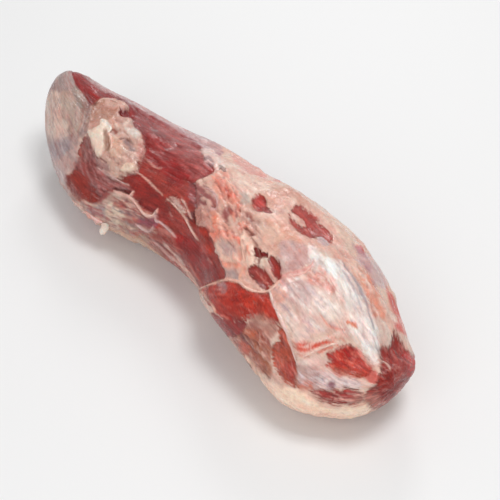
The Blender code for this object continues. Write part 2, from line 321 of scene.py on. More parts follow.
# Tissue, colour, opacity, softness in pixels, rise in millimetres and outline in pixels of the
# picture, lowest layer first. "skin" covers with smooth membrane, "fat" with lumpy fat, "lean" bares
# the muscle, "tint" only colours.
PATCHES = {
    "top base": ("tint", (180, 132, 138), 1, 4, 0,
        "60,60 84,60 110,78 150,104 190,128 216,144 222,156 212,172 200,170 170,146 130,120 96,100 76,86"),
    "fat border": ("tint", (228, 188, 174), 1, 8, 0,
        "214,156 240,168 272,182 304,206 334,236 360,268 384,306 398,336 384,340 364,296 338,262 306,244 "
        "300,268 276,284 250,292 222,280 214,240 202,216 200,184 216,172"),
    "right pink": ("tint", (222, 172, 160), 0.9, 6, 0,
        "286,188 300,194 322,214 340,236 352,256 342,258 326,238 306,208"),
    "between cream": ("tint", (228, 174, 154), 0.8, 5, 0,
        "268,222 286,224 300,236 302,246 284,244 268,236"),
    "fat shade": ("tint", (214, 176, 160), 0.6, 10, 0,
        "226,208 244,204 262,214 280,236 280,258 262,254 244,236 228,230"),
    "between grey": ("tint", (204, 170, 168), 0.9, 5, 0,
        "282,243 298,242 312,250 313,264 300,270 284,270 278,256"),
    "silver end": ("skin", (174, 153, 150), 1, 9, 0,
        "38,100 44,70 66,62 73,72 75,80 80,89 88,99 95,105 88,130 82,139 80,146 79,157 76,167 71,173 "
        "64,177 56,196 44,186 38,140"),
    "silver warm": ("tint", SILVER_WARM_TONE, 0.7, 5, 0,
        "64,92 76,100 84,108 86,120 80,132 70,134 62,124 60,106"),
    "silver pale edge": ("tint", (224, 198, 186), 0.85, 6, 0,
        "41,96 54,92 63,112 68,132 59,141 48,135 41,116"),
    "silver blue": ("tint", SILVER_COOL, 0.45, 6, 0, "50,142 62,136 72,142 66,156 56,162 50,152"),
    "silver dark": ("tint", SILVER_GREEN, 0.7, 3, 0, "75,86 80,92 87,106 86,112 80,108 74,96"),
    "silver low": ("tint", (200, 164, 158), 0.8, 4, 0, "56,160 66,150 78,152 76,166 62,178 57,172"),
    "silver brown": ("tint", (152, 108, 98), 0.65, 5, 0, "78,86 88,98 96,106 94,122 88,128 83,114 79,100"),
    "upper lean": ("lean", LEAN, 1, 2, -0.9,
        "72,73 74,68 80,69 92,79 104,89 122,99 142,111 162,122 183,135 200,147 204,158 214,169 210,176 "
        "196,181 197,190 196,202 201,212 203,224 208,231 213,241 216,254 226,276 216,284 205,286 198,292 "
        "182,286 162,270 146,258 138,246 136,232 138,220 131,197 114,190 104,193 99,200 93,202 77,199 "
        "71,192 67,185 66,178 77,167 80,145 90,130 92,116 95,106 90,103 77,84"),
    "central low": ("tint", (140, 48, 36), 0.85, 6, 0,
        "176,232 190,236 204,250 214,266 222,280 204,286 192,270 180,252"),
    "mauve field": ("tint", (160, 48, 40), 1, 5, 0.5,
        "127,103 142,111 162,122 183,135 201,148 205,158 215,169 210,176 196,182 184,180 168,168 150,152 "
        "142,142 134,131 132,118"),
    "mauve pink": ("tint", (178, 108, 108), 0.7, 9, 0,
        "158,122 183,136 201,150 206,160 214,169 206,178 194,180 182,166 168,148 158,134"),
    "mauve dark": ("tint", (142, 46, 42), 0.9, 7, 0,
        "130,106 150,122 166,140 172,158 160,158 146,144 134,128"),
    "central red": ("tint", (148, 32, 26), 0.9, 7, -0.3,
        "150,148 164,150 178,164 186,180 178,186 164,176 150,164"),
    "central deep": ("tint", (140, 56, 52), 0.7, 6, -0.5,
        "128,176 140,171 154,187 166,204 172,222 162,220 150,210 138,200"),
    "wedge": ("tint", (152, 40, 36), 1, 2.5, 0,
        "71,69 79,70 90,79 104,90 116,97 129,104 133,113 111,100 101,100 94,106 88,100 76,83"),
    "wedge deep": ("tint", LEAN_DEEP, 0.7, 3, -0.4, "83,90 90,92 97,97 95,105 91,106"),
    "purple bundle": ("tint", (156, 92, 90), 1, 4, 0.5,
        "82,139 87,135 94,154 101,168 108,175 129,186 120,190 113,199 104,205 94,203 88,180 82,170 76,168 "
        "79,158"),
    "silver seam": ("tint", (160, 116, 112), 0.75, 7, 0, "86,134 92,142 89,153 82,163 77,160 80,148"),
    "dark patch": ("tint", (144, 66, 60), 1, 4, 0,
        "67,177 73,171 80,172 92,185 97,194 99,201 92,202 82,200 74,196 66,183"),
    "small lens": ("tint", LEAN_BLACK, 1, 1.5, -0.6, "113,189 120,186 127,188 132,192 127,195 120,193"),
    "purple loops": ("tint", (150, 82, 84), 0.9, 6, 0.4,
        "190,184 202,184 212,192 217,203 210,212 198,208 190,198"),
    "red lumps": ("tint", (168, 66, 58), 0.9, 4, 0.5, "198,224 208,226 215,238 214,251 205,252 198,240"),
    # Painted shade: near black in the hole in the lean
    "lean hole shade": ("tint", (104, 38, 38), 0.9, 2, -0.8, "187,211 193,210 196,216 195,222 191,222 187,217"),
    "bright spot": ("tint", (172, 30, 34), 0.9, 2, 0, "175,236 180,235 183,239 179,243 175,241"),
    "top strip": ("skin", (200, 166, 166), 1, 4.5, 0,
        "86,73 94,84 111,93 127,101 142,110 162,121 183,134 202,147 212,152 222,146 200,132 160,108 "
        "120,88"),
    "silver strip": ("skin", (198, 182, 184), 0.8, 4, 0,
        "54,168 60,170 66,178 68,187 72,197 70,208 60,200 50,180"),
    "left fascia": ("skin", (194, 162, 150), 1, 5, 0.5,
        "60,180 66,190 79,200 90,204 100,203 108,197 115,192 128,199 138,210 146,216 153,217 148,226 "
        "152,233 143,238 150,246 158,256 150,258 134,250 120,246 88,236 66,214 54,190"),
    "fascia grey": ("tint", (166, 146, 150), 0.8, 4, 0,
        "88,206 98,207 108,207 113,212 108,217 98,216 90,212"),
    "fascia cream": ("tint", (218, 194, 176), 0.9, 4, 0.6,
        "106,206 116,203 128,212 136,224 132,234 118,228 107,218"),
    "fascia green": ("tint", (178, 146, 128), 0.8, 4, 0, "120,222 132,222 140,230 150,242 140,244 126,234"),
    "fascia flesh": ("tint", (174, 104, 96), 0.85, 3, -0.3,
        "120,202 128,200 134,208 136,218 144,226 136,226 120,208"),
    "fascia lobe": ("tint", (194, 154, 136), 0.8, 2.5, 0.8,
        "126,222 132,223 137,231 137,238 131,236 127,229"),
    "purple lens": ("tint", (148, 88, 100), 0.95, 4, -0.5,
        "137,219 146,216 155,218 156,225 150,228 142,226"),
    "mauve lens": ("tint", (168, 112, 108), 0.8, 4, -0.2, "155,229 162,227 169,232 168,238 160,237"),
    "stripe lean": ("tint", (150, 80, 72), 0.85, 4, -0.5,
        "144,232 153,233 164,241 174,252 184,264 176,262 164,254 154,246"),
    "fat tongue": ("fat", (226, 184, 170), 1, 3.5, 0.8, "195,183 205,177 226,168 232,178 222,186 208,186"),
    "fold white": ("tint", (234, 208, 200), 0.9, 3, 0.5, "200,150 210,151 222,162 226,170 216,168 206,160"),
    # Painted shade: the dark grey line where the fold turns under, and the dark crease beside it
    "fold painted shade": ("tint", (146, 118, 124), 0.7, 1.5, -0.5, "203,156 209,158 215,165 211,167 205,162"),
    "crease right shade": ("tint", (110, 78, 70), 0.8, 1.5, -0.6, "219,166 224,168 227,173 223,173"),
    "pink above": ("tint", (238, 172, 158), 0.9, 2.5, 0.4, "223,173 229,173 231,179 228,184 223,182"),
    "grey green": ("tint", (194, 176, 166), 0.95, 4, -0.4, "234,195 243,193 250,198 247,203 238,203"),
    "knob": ("fat", (200, 150, 140), 1, 3, 0.7,
        "194,210 200,206 207,206 214,210 213,224 206,228 198,226 194,218"),
    "salmon top": ("tint", (230, 152, 132), 0.8, 6, 0.4,
        "214,181 222,178 232,184 238,194 234,202 224,199 216,192"),
    "salmon core": ("tint", (236, 122, 104), 0.85, 4, 0.3,
        "218,183 225,182 231,188 233,195 227,193 220,187"),
    "salmon left": ("tint", (226, 160, 140), 0.7, 5, 0.3, "208,215 215,212 222,220 219,228 211,226"),
    "orange spot": ("tint", (234, 128, 98), 0.95, 2.5, 0.8, "212,217 216,216 219,220 217,224 213,222"),
    "pale lumps": ("tint", (246, 190, 172), 0.95, 2, 1.2, "214,225 220,224 223,228 220,233 215,231"),
    "salmon low": ("tint", (226, 160, 142), 0.7, 6, 0.3, "216,226 226,226 236,236 232,244 222,240"),
    "orange band": ("tint", (234, 140, 120), 0.9, 3, 1.2,
        "211,232 232,235 243,239.5 240,243 228,242 213,238"),
    "mottle top": ("tint", (156, 88, 88), 0.9, 3.5, -0.6,
        "222,212 227,208 232,210 237,209 240,214 236,217 231,216 227,219 223,217"),
    # Painted shade in the brown creases of the fat, darkest in the lower one
    "crease brown shade": ("tint", (140, 82, 78), 0.9, 4, -0.8,
        "237,209 247,212 256,220 259,226 252,226 243,220"),
    "crease dark shade": ("tint", (116, 68, 62), 0.9, 2.5, -1, "244,226 249,228 255,235 251,237 246,232"),
    "middle blue": ("tint", (190, 154, 152), 0.9, 5, -0.4, "221,243 230,242 236,250 232,258 223,254"),
    "cream lobe": ("tint", (246, 216, 198), 1, 2.5, 1.6,
        "240,230 246,232 250,240 257,250 258,262 253,270 246,264 243,248"),
    "orange red": ("tint", (222, 134, 112), 0.7, 5, 0.3, "227,263 235,263 240,267 237,271 229,269"),
    "middle blue low": ("tint", (170, 150, 150), 0.8, 4, -0.3, "224,270 236,271 242,280 232,281"),
    "edge pink top": ("tint", (224, 158, 152), 0.7, 4, 0,
        "232,152 252,164 268,174 262,180 246,172 234,162"),
    "cream top": ("tint", (234, 208, 194), 0.8, 6, 0,
        "228,164 246,172 262,180 272,184 270,192 258,190 238,184"),
    "pink below": ("tint", (214, 168, 152), 0.9, 6, 0,
        "272,184 290,188 306,200 316,214 300,204 284,200 274,194"),
    "right lilac": ("tint", (202, 178, 182), 0.7, 5, 0, "354,248 366,252 380,268 388,284 380,288 366,272"),
    "right peach": ("tint", (222, 160, 140), 0.8, 6, 0,
        "352,268 364,270 378,290 386,312 384,326 372,318 360,292"),
    "right cream": ("tint", (222, 200, 190), 0.8, 4, 0, "372,316 386,322 396,340 392,348 382,346 374,332"),
    "round window": ("lean", (172, 76, 72), 1, 3, -1, oval((259.4, 203.0), (7.6, 9.2), -12)),
    "round window core": ("tint", (194, 92, 92), 0.8, 3, 0.3, oval((260.4, 204.0), (4.6, 6.0), -12)),
    "round window tail": ("lean", (160, 90, 92), 0.9, 1.2, -0.6, "263,208 269,208 273,212 266,213"),
    "large window": ("lean", (176, 84, 80), 1, 3, -1,
        "289,217 292,210 296,205 302,206 315,216 321,225 328,230 332,237 331,243 326,238 320,236 314,238 "
        "308,237 300,232 294,226"),
    "window tongue": ("fat", (222, 180, 168), 0.95, 2.6, 0.6,
        "289,211 294,212 300,216 305,221 306,226 301,226 296,221 291,217"),
    # Painted highlight: a pale grey-lilac glint on the large window, laid as a patch of membrane
    "window painted highlight": ("skin", (204, 190, 196), 0.8, 1.5, 0, "319,236 326,238 329,245 322,246 317,241"),
    "small cluster": ("lean", (126, 48, 52), 1, 1.6, -0.9,
        "255,249 260,249 263,253 268,252 268,257 261,258 256,256"),
    "cluster cream": ("tint", (222, 206, 190), 0.8, 2, 0, "258,256 266,255 270,262 266,268 260,266"),
    "pair right": ("lean", (156, 66, 62), 1, 2.6, -1,
        "268,257 272,255 277,259 280,266 281,278 277,279 269,264"),
    "pair left": ("lean", (152, 68, 64), 1, 2.6, -1, "248,271 260,266 270,276 275,283 270,288 263,289"),
    "flap lean": ("lean", (172, 64, 56), 1, 1.5, -0.3,
        "200,289 208,286 227,281 239,283 245,289 255,293 268,292 272,298 276,310 281,325 258,319 234,324 "
        "224,320 214,310 206,301"),
    "flap lean right": ("tint", (186, 70, 58), 0.8, 5, 0,
        "240,290 256,294 268,293 276,310 279,322 262,316 248,306"),
    "flap spot": ("tint", (178, 150, 156), 0.8, 2, 0, "217,284 224,283 226,289 220,292"),
    "flank": ("skin", (188, 142, 130), 1, 7, 0,
        "216,322 228,326 240,323 256,319 268,322 279,327 272,340 269,360 272,378 262,380 246,362 232,340"),
    "flank brown": ("tint", (172, 98, 82), 0.85, 6, 0,
        "222,326 240,326 262,330 270,344 268,364 256,364 242,346 228,334"),
    "flank red": ("lean", (146, 56, 42), 0.95, 3, -0.3,
        "212,312 222,318 234,322 246,322 242,333 228,337 214,330"),
    "flank pale": ("tint", (196, 146, 130), 0.7, 6, 0, "256,315 265,315 269,321 262,324 255,321"),
    "flank low": ("tint", (176, 110, 88), 0.9, 7, 0,
        "240,338 256,336 268,350 273,376 262,380 250,368 242,354"),
    "flank orange": ("tint", (204, 116, 88), 0.8, 5, 0, "246,330 253,328 260,332 257,338 248,337"),
    "flank red low": ("tint", (192, 96, 82), 0.8, 3, 0, "238,342 246,342 251,350 246,355 240,350"),
    "flank dark a": ("tint", (128, 92, 96), 0.7, 2, -0.4, "239,331 243,334 248,343 244,344"),
    "lens two": ("lean", (194, 94, 74), 1, 3, -1,
        "278,326 284,329 290,339 294,351 296,362 298,386 291,385 283,380 275,370 272,357 273,346 279,340"),
    "lens two low": ("tint", (160, 66, 62), 0.8, 5, 0, "284,366 294,362 297,378 292,384 284,378"),
    "membrane flap": ("skin", (228, 198, 188), 1, 4, 0,
        "277,284 290,276 304,272 312,266 326,272 338,290 350,312 360,330 350,336 330,332 312,336 298,344 "
        "290,330 282,312 275,296"),
    "membrane blue": ("tint", (208, 180, 178), 0.9, 6, 0,
        "284,286 298,284 312,290 314,304 304,308 290,302 284,294"),
    "membrane white": ("tint", (240, 218, 208), 0.85, 8, 0,
        "325,314 334,303 346,301 354,310 357,328 345,333 329,331"),
    "membrane pink": ("tint", (224, 160, 148), 0.85, 5, 0,
        "306,268 320,268 336,280 338,290 322,288 308,280"),
    "torn pink": ("tint", (232, 172, 160), 0.9, 3, 0.5, "322,270 330,272 337,282 336,288 329,284 323,277"),
    "flap fold pink": ("tint", (226, 166, 160), 0.9, 3, 0.4,
        "277,284 286,276 298,271 310,269 300,278 288,283"),
    "peach lump": ("fat", (230, 182, 168), 1, 3, 0.8, "268,287 277,284 286,290 289,299 280,303 272,298"),
    "cream low": ("tint", (234, 206, 198), 0.9, 5, 0, "301,358 322,356 330,364 318,370 302,370"),
    "lilac band": ("skin", (230, 204, 200), 1, 5, 0.3,
        "298,372 316,370 334,374 350,378 364,382 360,390 346,388 328,390 310,388 298,384"),
    "lilac shade": ("tint", (190, 148, 142), 0.75, 6, 0, "298,366 312,367 321,374 318,384 301,384"),
    "red patch": ("lean", (192, 70, 62), 1, 4, -0.8,
        "325,366 331,361 327,355 334,350 341,347 347,344 353,347 358,350 364,357 370,364 372,369 367,375 "
        "361,377 352,375 343,372 333,369"),
    "red patch deep": ("tint", (170, 40, 38), 0.75, 5, -0.3,
        "342,350 350,348 357,353 357,358 348,359 342,356"),
    "red patch low": ("tint", (190, 86, 66), 0.7, 5, 0, "334,366 358,373 368,373 362,379 348,376 336,372"),
    "red band": ("tint", (220, 92, 72), 0.9, 4, 0.3, "297,345 304,343 312,345 313,349 306,352.5 298,352"),
    "low dark": ("lean", (174, 72, 68), 1, 4, -0.6,
        "312,391 319,388 327,391 334,389 341,392 347,388 361,392 364,398 358,402.5 348,404.5 336,404.5 "
        "325,402 317,397"),
    "blob": ("tint", (204, 88, 80), 0.85, 5, 0.3,
        "363,375 367,372 372,372 378,376 378,381 373,385 367,383 363,379"),
    "end lean": ("lean", (158, 60, 50), 1, 3.5, -0.6,
        "380,350 384,345 390,347 394,331 399,338 410,355 420,362 424,376 412,392 398,404 384,409 368,406 "
        "364,399 368,391 377,383 379,376 381,366 380,356"),
    "end lean tip": ("tint", (192, 52, 46), 0.85, 5, 0, "404,352 412,358 420,366 414,378 405,372"),
    "end lean low": ("tint", (200, 142, 132), 0.75, 7, 0,
        "354,394 364,392 374,393 381,399 384,404 378,409 368,409 356,403"),
    "edge fat": ("fat", (255, 222, 200), 1, 5, 0.6,
        "243,358 250,360 261,371 273,383 288,388 304,394 320,403 338,406 356,405 366,402 370,412 352,424 "
        "330,418 300,412 276,402 250,376"),
    "edge orange": ("tint", (208, 108, 80), 0.8, 4, 0,
        "299,384.5 304,383 311,385.5 311,388.5 304,389.5 299,388"),
    "tendon": ("skin", (238, 222, 216), 1, 4, 0.3,
        "305,246 314,245 326,256 338,260 350,272 362,290 370,308 377,330 380,350 378,360 373,365 368,362 "
        "364,352 358,334 350,314 338,296 328,278 314,262"),
    # Painted highlights: two white glints on the wet tendon, painted into its colour
    "tendon painted highlight a": ("tint", PAINTED_HIGHLIGHT, 0.7, 2, 0.4, "307,247 312,247 318,256 315,260 309,254"),
    "tendon painted highlight b": ("tint", PAINTED_HIGHLIGHT, 0.95, 2, 0.4, "325,261 329,260 337,270 336,278 330,274"),
    "tendon shine c": ("tint", (250, 238, 232), 0.8, 4, 0,
        "352,318 364,316 374,332 379,352 378,364 371,360 362,344"),
    "purple spot a": ("tint", (120, 60, 78), 1, 2.5, -0.4, oval((321.0, 381.2), (2.8, 1.5), 10)),
    "purple spot b": ("tint", (126, 60, 78), 0.85, 4, -0.4, oval((333.0, 385.6), (4.0, 2.6), 15)),
    "triangle": ("skin", (206, 170, 162), 0.9, 3, 0.4,
        "167,199 172,197.5 178,200 183,207 184,213 179,209 173,203"),
    "lump": ("fat", (206, 168, 156), 1, 4, 1.6,
        "95,105 101,98 111,99 124,104 128,108 126,112 120,112 121,116 130,118 133,121 134,127 142,133 "
        "144,141 144,150 140,159 138,167 134,173 127,174 116,180 110,177 97,162 90,141 87,134 91,113"),
    "lump upper": ("tint", (180, 130, 114), 0.95, 5, 0,
        "92,106 100,100 112,101 120,106 121,112 112,119 100,122 90,118"),
    "lump curl": ("tint", (216, 172, 160), 0.9, 2, 0.8,
        "105,101 113,100 120,102 127,106 128,111 118,110 108,108"),
    "lump pale": ("tint", (226, 212, 204), 0.9, 2, 0.4, "127,129 135,128 141,133 139,138 131,137"),
    "lump tan": ("tint", (224, 184, 164), 0.8, 4, 0.3, "109,140 118,138 124,148 120,156 110,153"),
    "lump low": ("tint", (202, 164, 150), 0.9, 3, 0.5,
        "104,158 114,162 124,168 134,168 128,175 116,180 107,173"),
    # Painted shade under the lump's lower fold
    "lump shade low": ("tint", (164, 124, 122), 0.8, 3, -0.8,
        "92,152 98,158 106,163 112,170 104,172 96,166 91,158"),
    "lump lobe light": ("tint", (236, 210, 190), 0.9, 2.5, 0.6, "124,166 134,163 135,170 128,174 122,173"),
    # Painted shade in the lump's hollow
    "lump hollow shade": ("tint", (160, 142, 144), 0.85, 3.5, -0.9,
        "123,142 129,140.5 134,145 134,151 128,149.5"),
    "lump orange": ("tint", (220, 166, 146), 0.7, 3, -0.4, "110,120 116,119 119,126 114,131 110,128"),
    # Painted shade in the dark gap of the lump
    "lump gap shade": ("tint", (146, 92, 82), 0.9, 2, -1.2, "109,130 115,129 121,133 116,136 110,134"),
    "lump chunk": ("tint", (238, 222, 206), 1, 2, 2,
        "88,132 95,129 101,128 103,123 107,122 110,127 110.5,131 107,134 106,142 104.6,150 101,155 97,155 "
        "93.5,149"),
    # Painted shade in the groove beside the chunk's fold
    "lump fold shade": ("tint", (160, 122, 106), 0.8, 2, -0.9, "105,134 109,134 109,148 106,149"),
    "lump chunk top": ("tint", (250, 234, 220), 0.9, 2, 0.8, "100,121 105,122 109,127 105,130 100,127"),
    "lump pink edge": ("tint", (206, 142, 134), 0.8, 2.5, 0,
        "137,138 144,140 144,151 140,160 136,156 138,147"),
    "lump notch": ("lean", (140, 44, 42), 1, 1.5, -1.2, "119,112 126,112 134,116 131,119 122,117"),
    "edge red a": ("tint", (210, 110, 104), 0.8, 4, 0, "272,175 280,176 283,181 276,181"),
    "edge red b": ("tint", (214, 104, 98), 0.8, 4, 0, "356,245 363,247 365,253 358,251"),
    "edge red c": ("tint", (212, 98, 92), 0.85, 5, 0, "385,292 390,294 400,314 406,333 401,332 393,314"),
}

# Outlines that only streaks use
ZONES = {
    "fascia tail": "148,218 160,214 176,240 190,264 198,286 178,278 156,258 144,238",
    "fat torn": "212,172 230,176 240,198 252,216 262,246 250,284 222,280 216,244 204,214 203,186",
    "band zone": "297,343 312,343 328,338 345,337 348,341 336,346 324,352 302,357",
    "lump lobes": "111,120 133,120 142,134 142,152 134,172 118,176 106,166 109,140",
}

# Tissue, outline and its streaks: number, length and width in pixels, colour, opacity, rise in millimetres
STREAKS = (
    ("cover", "silver end", ((60, 18, 1.8, (204, 186, 182), 0.5, 0.1),
        (44, 16, 1.6, (142, 114, 116), 0.5, -0.1), (16, 14, 1.6, (168, 104, 98), 0.45, 0))),
    ("cover", "top strip", ((26, 16, 1.4, (222, 204, 206), 0.6, 0.1),
        (20, 12, 1.4, (164, 118, 124), 0.5, 0))),
    ("lean", "upper lean", ((90, 14, 1.5, (112, 36, 36), 0.5, -0.15),
        (80, 12, 1.5, (184, 78, 66), 0.4, 0.12), (16, 6, 1.6, (206, 150, 144), 0.5, 0.1))),
    ("lean", "mauve field", ((36, 34, 1.4, (180, 96, 94), 0.45, 0.08),
        (46, 30, 1.4, (134, 54, 52), 0.55, -0.15))),
    ("lean", "purple bundle", ((36, 20, 1.4, (182, 140, 142), 0.55, 0.1),
        (22, 14, 1.4, (104, 54, 58), 0.55, -0.12))),
    ("lean", "fascia tail", ((24, 18, 1.4, (198, 132, 124), 0.55, 0.2),)),
    ("cover", "left fascia", ((70, 15, 2, (226, 200, 186), 0.75, 0.34),
        (70, 14, 1.9, (154, 104, 104), 0.7, -0.34), (36, 10, 1.8, (138, 120, 124), 0.6, -0.3),
        (56, 12, 2.1, (166, 82, 78), 0.65, -0.15))),
    ("cover", "fat border", ((120, 9, 2.4, (242, 216, 204), 0.38, 0.34),
        (100, 10, 2.2, (220, 150, 136), 0.38, 0.1), (70, 9, 1.8, (186, 148, 148), 0.45, -0.32))),
    ("lean", "flap lean", ((50, 12, 1.5, (134, 40, 40), 0.5, -0.12),
        (44, 11, 1.5, (206, 104, 92), 0.45, 0.12), (14, 7, 1.6, (224, 156, 146), 0.55, 0.1))),
    ("cover", "membrane flap", ((34, 18, 2.8, (248, 234, 230), 0.55, 0.2),
        (18, 14, 2.8, (224, 170, 162), 0.5, 0.1), (22, 13, 2.4, (178, 158, 168), 0.55, -0.2))),
    ("cover", "right peach", ((20, 12, 2.6, (234, 150, 128), 0.5, 0.2),
        (22, 12, 2.4, (242, 216, 206), 0.65, 0.3), (14, 10, 1.8, (186, 112, 100), 0.55, -0.3))),
    ("cover", "right lilac", ((12, 10, 2.4, (184, 150, 160), 0.6, -0.15),)),
    ("cover", "flank", ((24, 8, 1.6, (112, 58, 56), 0.6, -0.3), (36, 12, 1.6, (220, 182, 170), 0.6, 0.3),
        (40, 12, 1.8, (150, 88, 84), 0.5, -0.2))),
    ("lean", "lens two", ((24, 10, 1.3, (214, 150, 146), 0.45, 0.08),
        (24, 12, 1.4, (112, 40, 44), 0.5, -0.1))),
    ("cover", "tendon", ((40, 26, 1.5, (250, 246, 246), 0.6, 0.14),
        (16, 22, 1.4, (178, 164, 170), 0.45, -0.14))),
    ("cover", "lilac band", ((22, 12, 1.6, (232, 220, 224), 0.55, 0.14),
        (16, 10, 1.5, (168, 132, 140), 0.5, -0.1))),
    ("lean", "red patch", ((22, 9, 1.7, (236, 138, 122), 0.6, 0.15),
        (18, 10, 1.4, (140, 26, 30), 0.5, -0.12))),
    ("lean", "low dark", ((22, 9, 1.8, (224, 178, 170), 0.75, 0.2),
        (14, 9, 1.4, (96, 34, 40), 0.55, -0.12))),
    ("lean", "end lean", ((70, 7, 1.4, (208, 140, 134), 0.6, 0.2), (60, 7, 1.3, (98, 34, 34), 0.6, -0.2))),
    ("cover", "fat torn", ((40, 11, 3.2, (244, 206, 190), 0.55, 0.9),
        (26, 9, 2.8, (238, 138, 118), 0.6, 0.4), (34, 10, 1.7, (150, 92, 86), 0.65, -0.8))),
    ("cover", "band zone", ((26, 10, 2, (212, 88, 70), 0.75, 0.05),
        (24, 9, 1.6, (246, 208, 196), 0.75, 0.3))),
    ("cover", "membrane pink", ((18, 9, 2.2, (230, 156, 146), 0.45, 0.35),
        (18, 8, 1.8, (250, 228, 218), 0.6, 0.35))),
    ("lean", "purple loops", ((16, 8, 1.8, (206, 174, 180), 0.65, 0.25),)),
    ("lean", "pair left", ((7, 9, 1.1, (214, 146, 136), 0.55, 0.1),)),
    ("lean", "round window", ((6, 7, 1.2, (218, 146, 138), 0.5, 0.1),)),
    ("lean", "large window", ((10, 9, 1.5, (212, 134, 126), 0.55, 0.15),
        (10, 10, 1.4, (134, 48, 48), 0.55, -0.15))),
    ("cover", "edge fat", ((20, 14, 2.6, (252, 236, 222), 0.4, 0.12),
        (10, 9, 1.8, (220, 172, 156), 0.3, -0.05))),
    ("cover", "lump lobes", ((40, 5, 1.7, (244, 222, 210), 0.6, 0.35),)),
    ("cover", "lump upper", ((12, 9, 1.6, (206, 160, 142), 0.4, 0.15),)),
    ("cover", "lump lobes", ((34, 5, 1.4, (146, 100, 92), 0.6, -0.4),)),
)

# Scrap of hanging fat: its line in the picture, half widths in millimetres by share run, and how
# much it recedes as it drops
TAG_LINE = "105.6,223 105.2,226 103.8,229 101.6,231.8 99.4,233.6"
TAG_WIDTHS = ((0, 2.8), (0.25, 3.0), (0.5, 2.7), (0.8, 2.6), (1, 0.9))
TAG_HANG = 0.55
TAG_SUNK = 0.001
TAG_SIDES = 20
# Half thickness of the scrap: its share of the half width, and what is added
TAG_THICKNESS = (0.45, 0.0004)
# Pinkness of the scrap: its mean and spread, and the size of its mottling
TAG_PINK = (0.3, 0.6)
TAG_MOTTLE_SIZE = 0.004

# Swellings given in the picture: middle, reach in pixels and rise in millimetres
BUMPS = (
    ((412, 366), 22, 2.6), ((261, 166), 8, 1.1), ((281, 177), 7, 0.9), ((300, 192), 6, 0.6),
    ((361, 246), 7, 0.8), ((392, 297), 9, 0.8), ((90, 216), 6, 0.9), ((98, 222), 5, 0.8),
    ((70, 203), 5, 0.5), ((120, 108), 12, 1.2), ((98, 138), 10, 1.6), ((114, 148), 7, 0.8),
    ((129, 169), 8, 1), ((127, 124), 8, 0.9), ((222, 184), 8, 0.9), ((218, 228), 6, 0.8),
    ((250, 250), 10, 1.6), ((224, 237), 7, 1.2), ((238, 240), 6, 0.9), ((278, 292), 9, 1.7),
)

# Far side's base: where silver ends and fat starts, with the length of each passage, and its mottling
BACK_SILVER = (0.085, 0.05)
BACK_FAT_START = (0.15, 0.08)
BACK_FAT_WANDER = 0.06
BACK_FATNESS = (0.25, 0.6)
BACK_BROAD_SIZE = 0.022
BACK_MOTTLE_SIZE = 0.011
BACK_STRETCH = (0.45, 1.0, 1.0)
BACK_MOTTLING = 0.6
MAUVE_SHARE = 0.5
MAUVE_LEVEL = 0.1
UNDER_HEIGHT = 0.02
UNDER_SHARE = 0.6

# Far side: the same kinds of rows, but in millimetres along and degrees around the muscle, which
# run from -BACK_START to 360 - BACK_START
BACK_START = 200
BACK_FLOWS = ("0,60 120,52 240,62 361,50", "0,20 120,6 240,-4 361,6", "0,-30 120,-40 240,-30 361,-36",
              "0,-100 180,-96 361,-100")
BACK_PATCHES = {
    "membrane": ("tint", (182, 132, 136), 0.7, 12, 0, "30,-60 90,-66 176,-50 190,0 176,56 90,60 30,50"),
    "long lens": ("lean", (160, 84, 84), 1, 5, -0.7, "104,2 124,-6 150,-8 172,-2 180,4 160,9 134,10 114,8"),
    "low lens": ("lean", (156, 76, 76), 1, 5, -0.6, "60,-34 84,-42 112,-42 126,-36 108,-30 80,-28"),
    "window a": ("lean", (172, 78, 74), 1, 2, -1.1, "214,14 226,8 242,10 252,17 244,24 228,24 217,20"),
    "window b": ("lean", (164, 68, 64), 1, 2, -1.1, "262,-22 280,-30 300,-28 310,-20 296,-14 276,-14"),
    "window c": ("lean", (168, 80, 76), 1, 3, -0.9, "196,-34 212,-42 232,-42 240,-36 224,-30 206,-29"),
    "end lean": ("lean", (150, 66, 58), 1, 3, -0.6, "334,-20 346,-34 356,-30 357,10 348,22 338,10"),
}
BACK_BUMPS = (
    ((204, 36), 22, 1.2), ((248, -4), 24, 1.2), ((292, 28), 22, 1.2), ((322, -8), 20, 1.0),
    ((186, -12), 16, 0.9), ((228, -58), 24, 1.0), ((282, -60), 22, 1.0), ((96, 30), 22, 0.8),
    ((58, -6), 18, 0.6), ((140, -44), 24, 0.8),
)
BACK_ZONES = {
    "all": "4,-140 357,-140 357,64 4,64",
    "fat": "170,-70 260,-80 352,-60 354,40 300,66 220,60 172,40",
}
BACK_STREAKS = (
    ("cover", "all", ((120, 26, 2, (224, 196, 186), 0.5, 0.16),
        (100, 24, 1.8, (170, 118, 120), 0.45, -0.16))),
    ("cover", "membrane", ((70, 34, 1.8, (210, 178, 182), 0.55, 0.14),
        (70, 30, 1.7, (146, 84, 88), 0.5, -0.14))),
    ("cover", "fat", ((90, 12, 2.6, (244, 218, 206), 0.55, 0.4), (60, 12, 2.2, (220, 146, 132), 0.5, 0.1),
        (60, 10, 1.9, (178, 140, 142), 0.5, -0.4))),
    ("lean", "all", ((60, 16, 1.5, (200, 126, 122), 0.55, 0.12), (60, 16, 1.5, (118, 44, 44), 0.5, -0.14))),
)
BACK_LINES = {
    "torn edge": (4, (232, 200, 188), 0.8, 0.8, "186,46 178,30 186,14 176,-4 184,-24 176,-44 182,-60"),
    "strand a": (2.6, (226, 198, 190), 0.8, 0.6, "60,24 100,16 150,18 200,30 240,38"),
    "strand b": (2.8, (238, 206, 192), 0.8, 0.6, "150,-24 200,-16 250,-8 300,0 340,4"),
    "strand c": (2.2, (206, 170, 174), 0.7, 0.4, "40,-10 90,-18 140,-18 176,-26"),
}

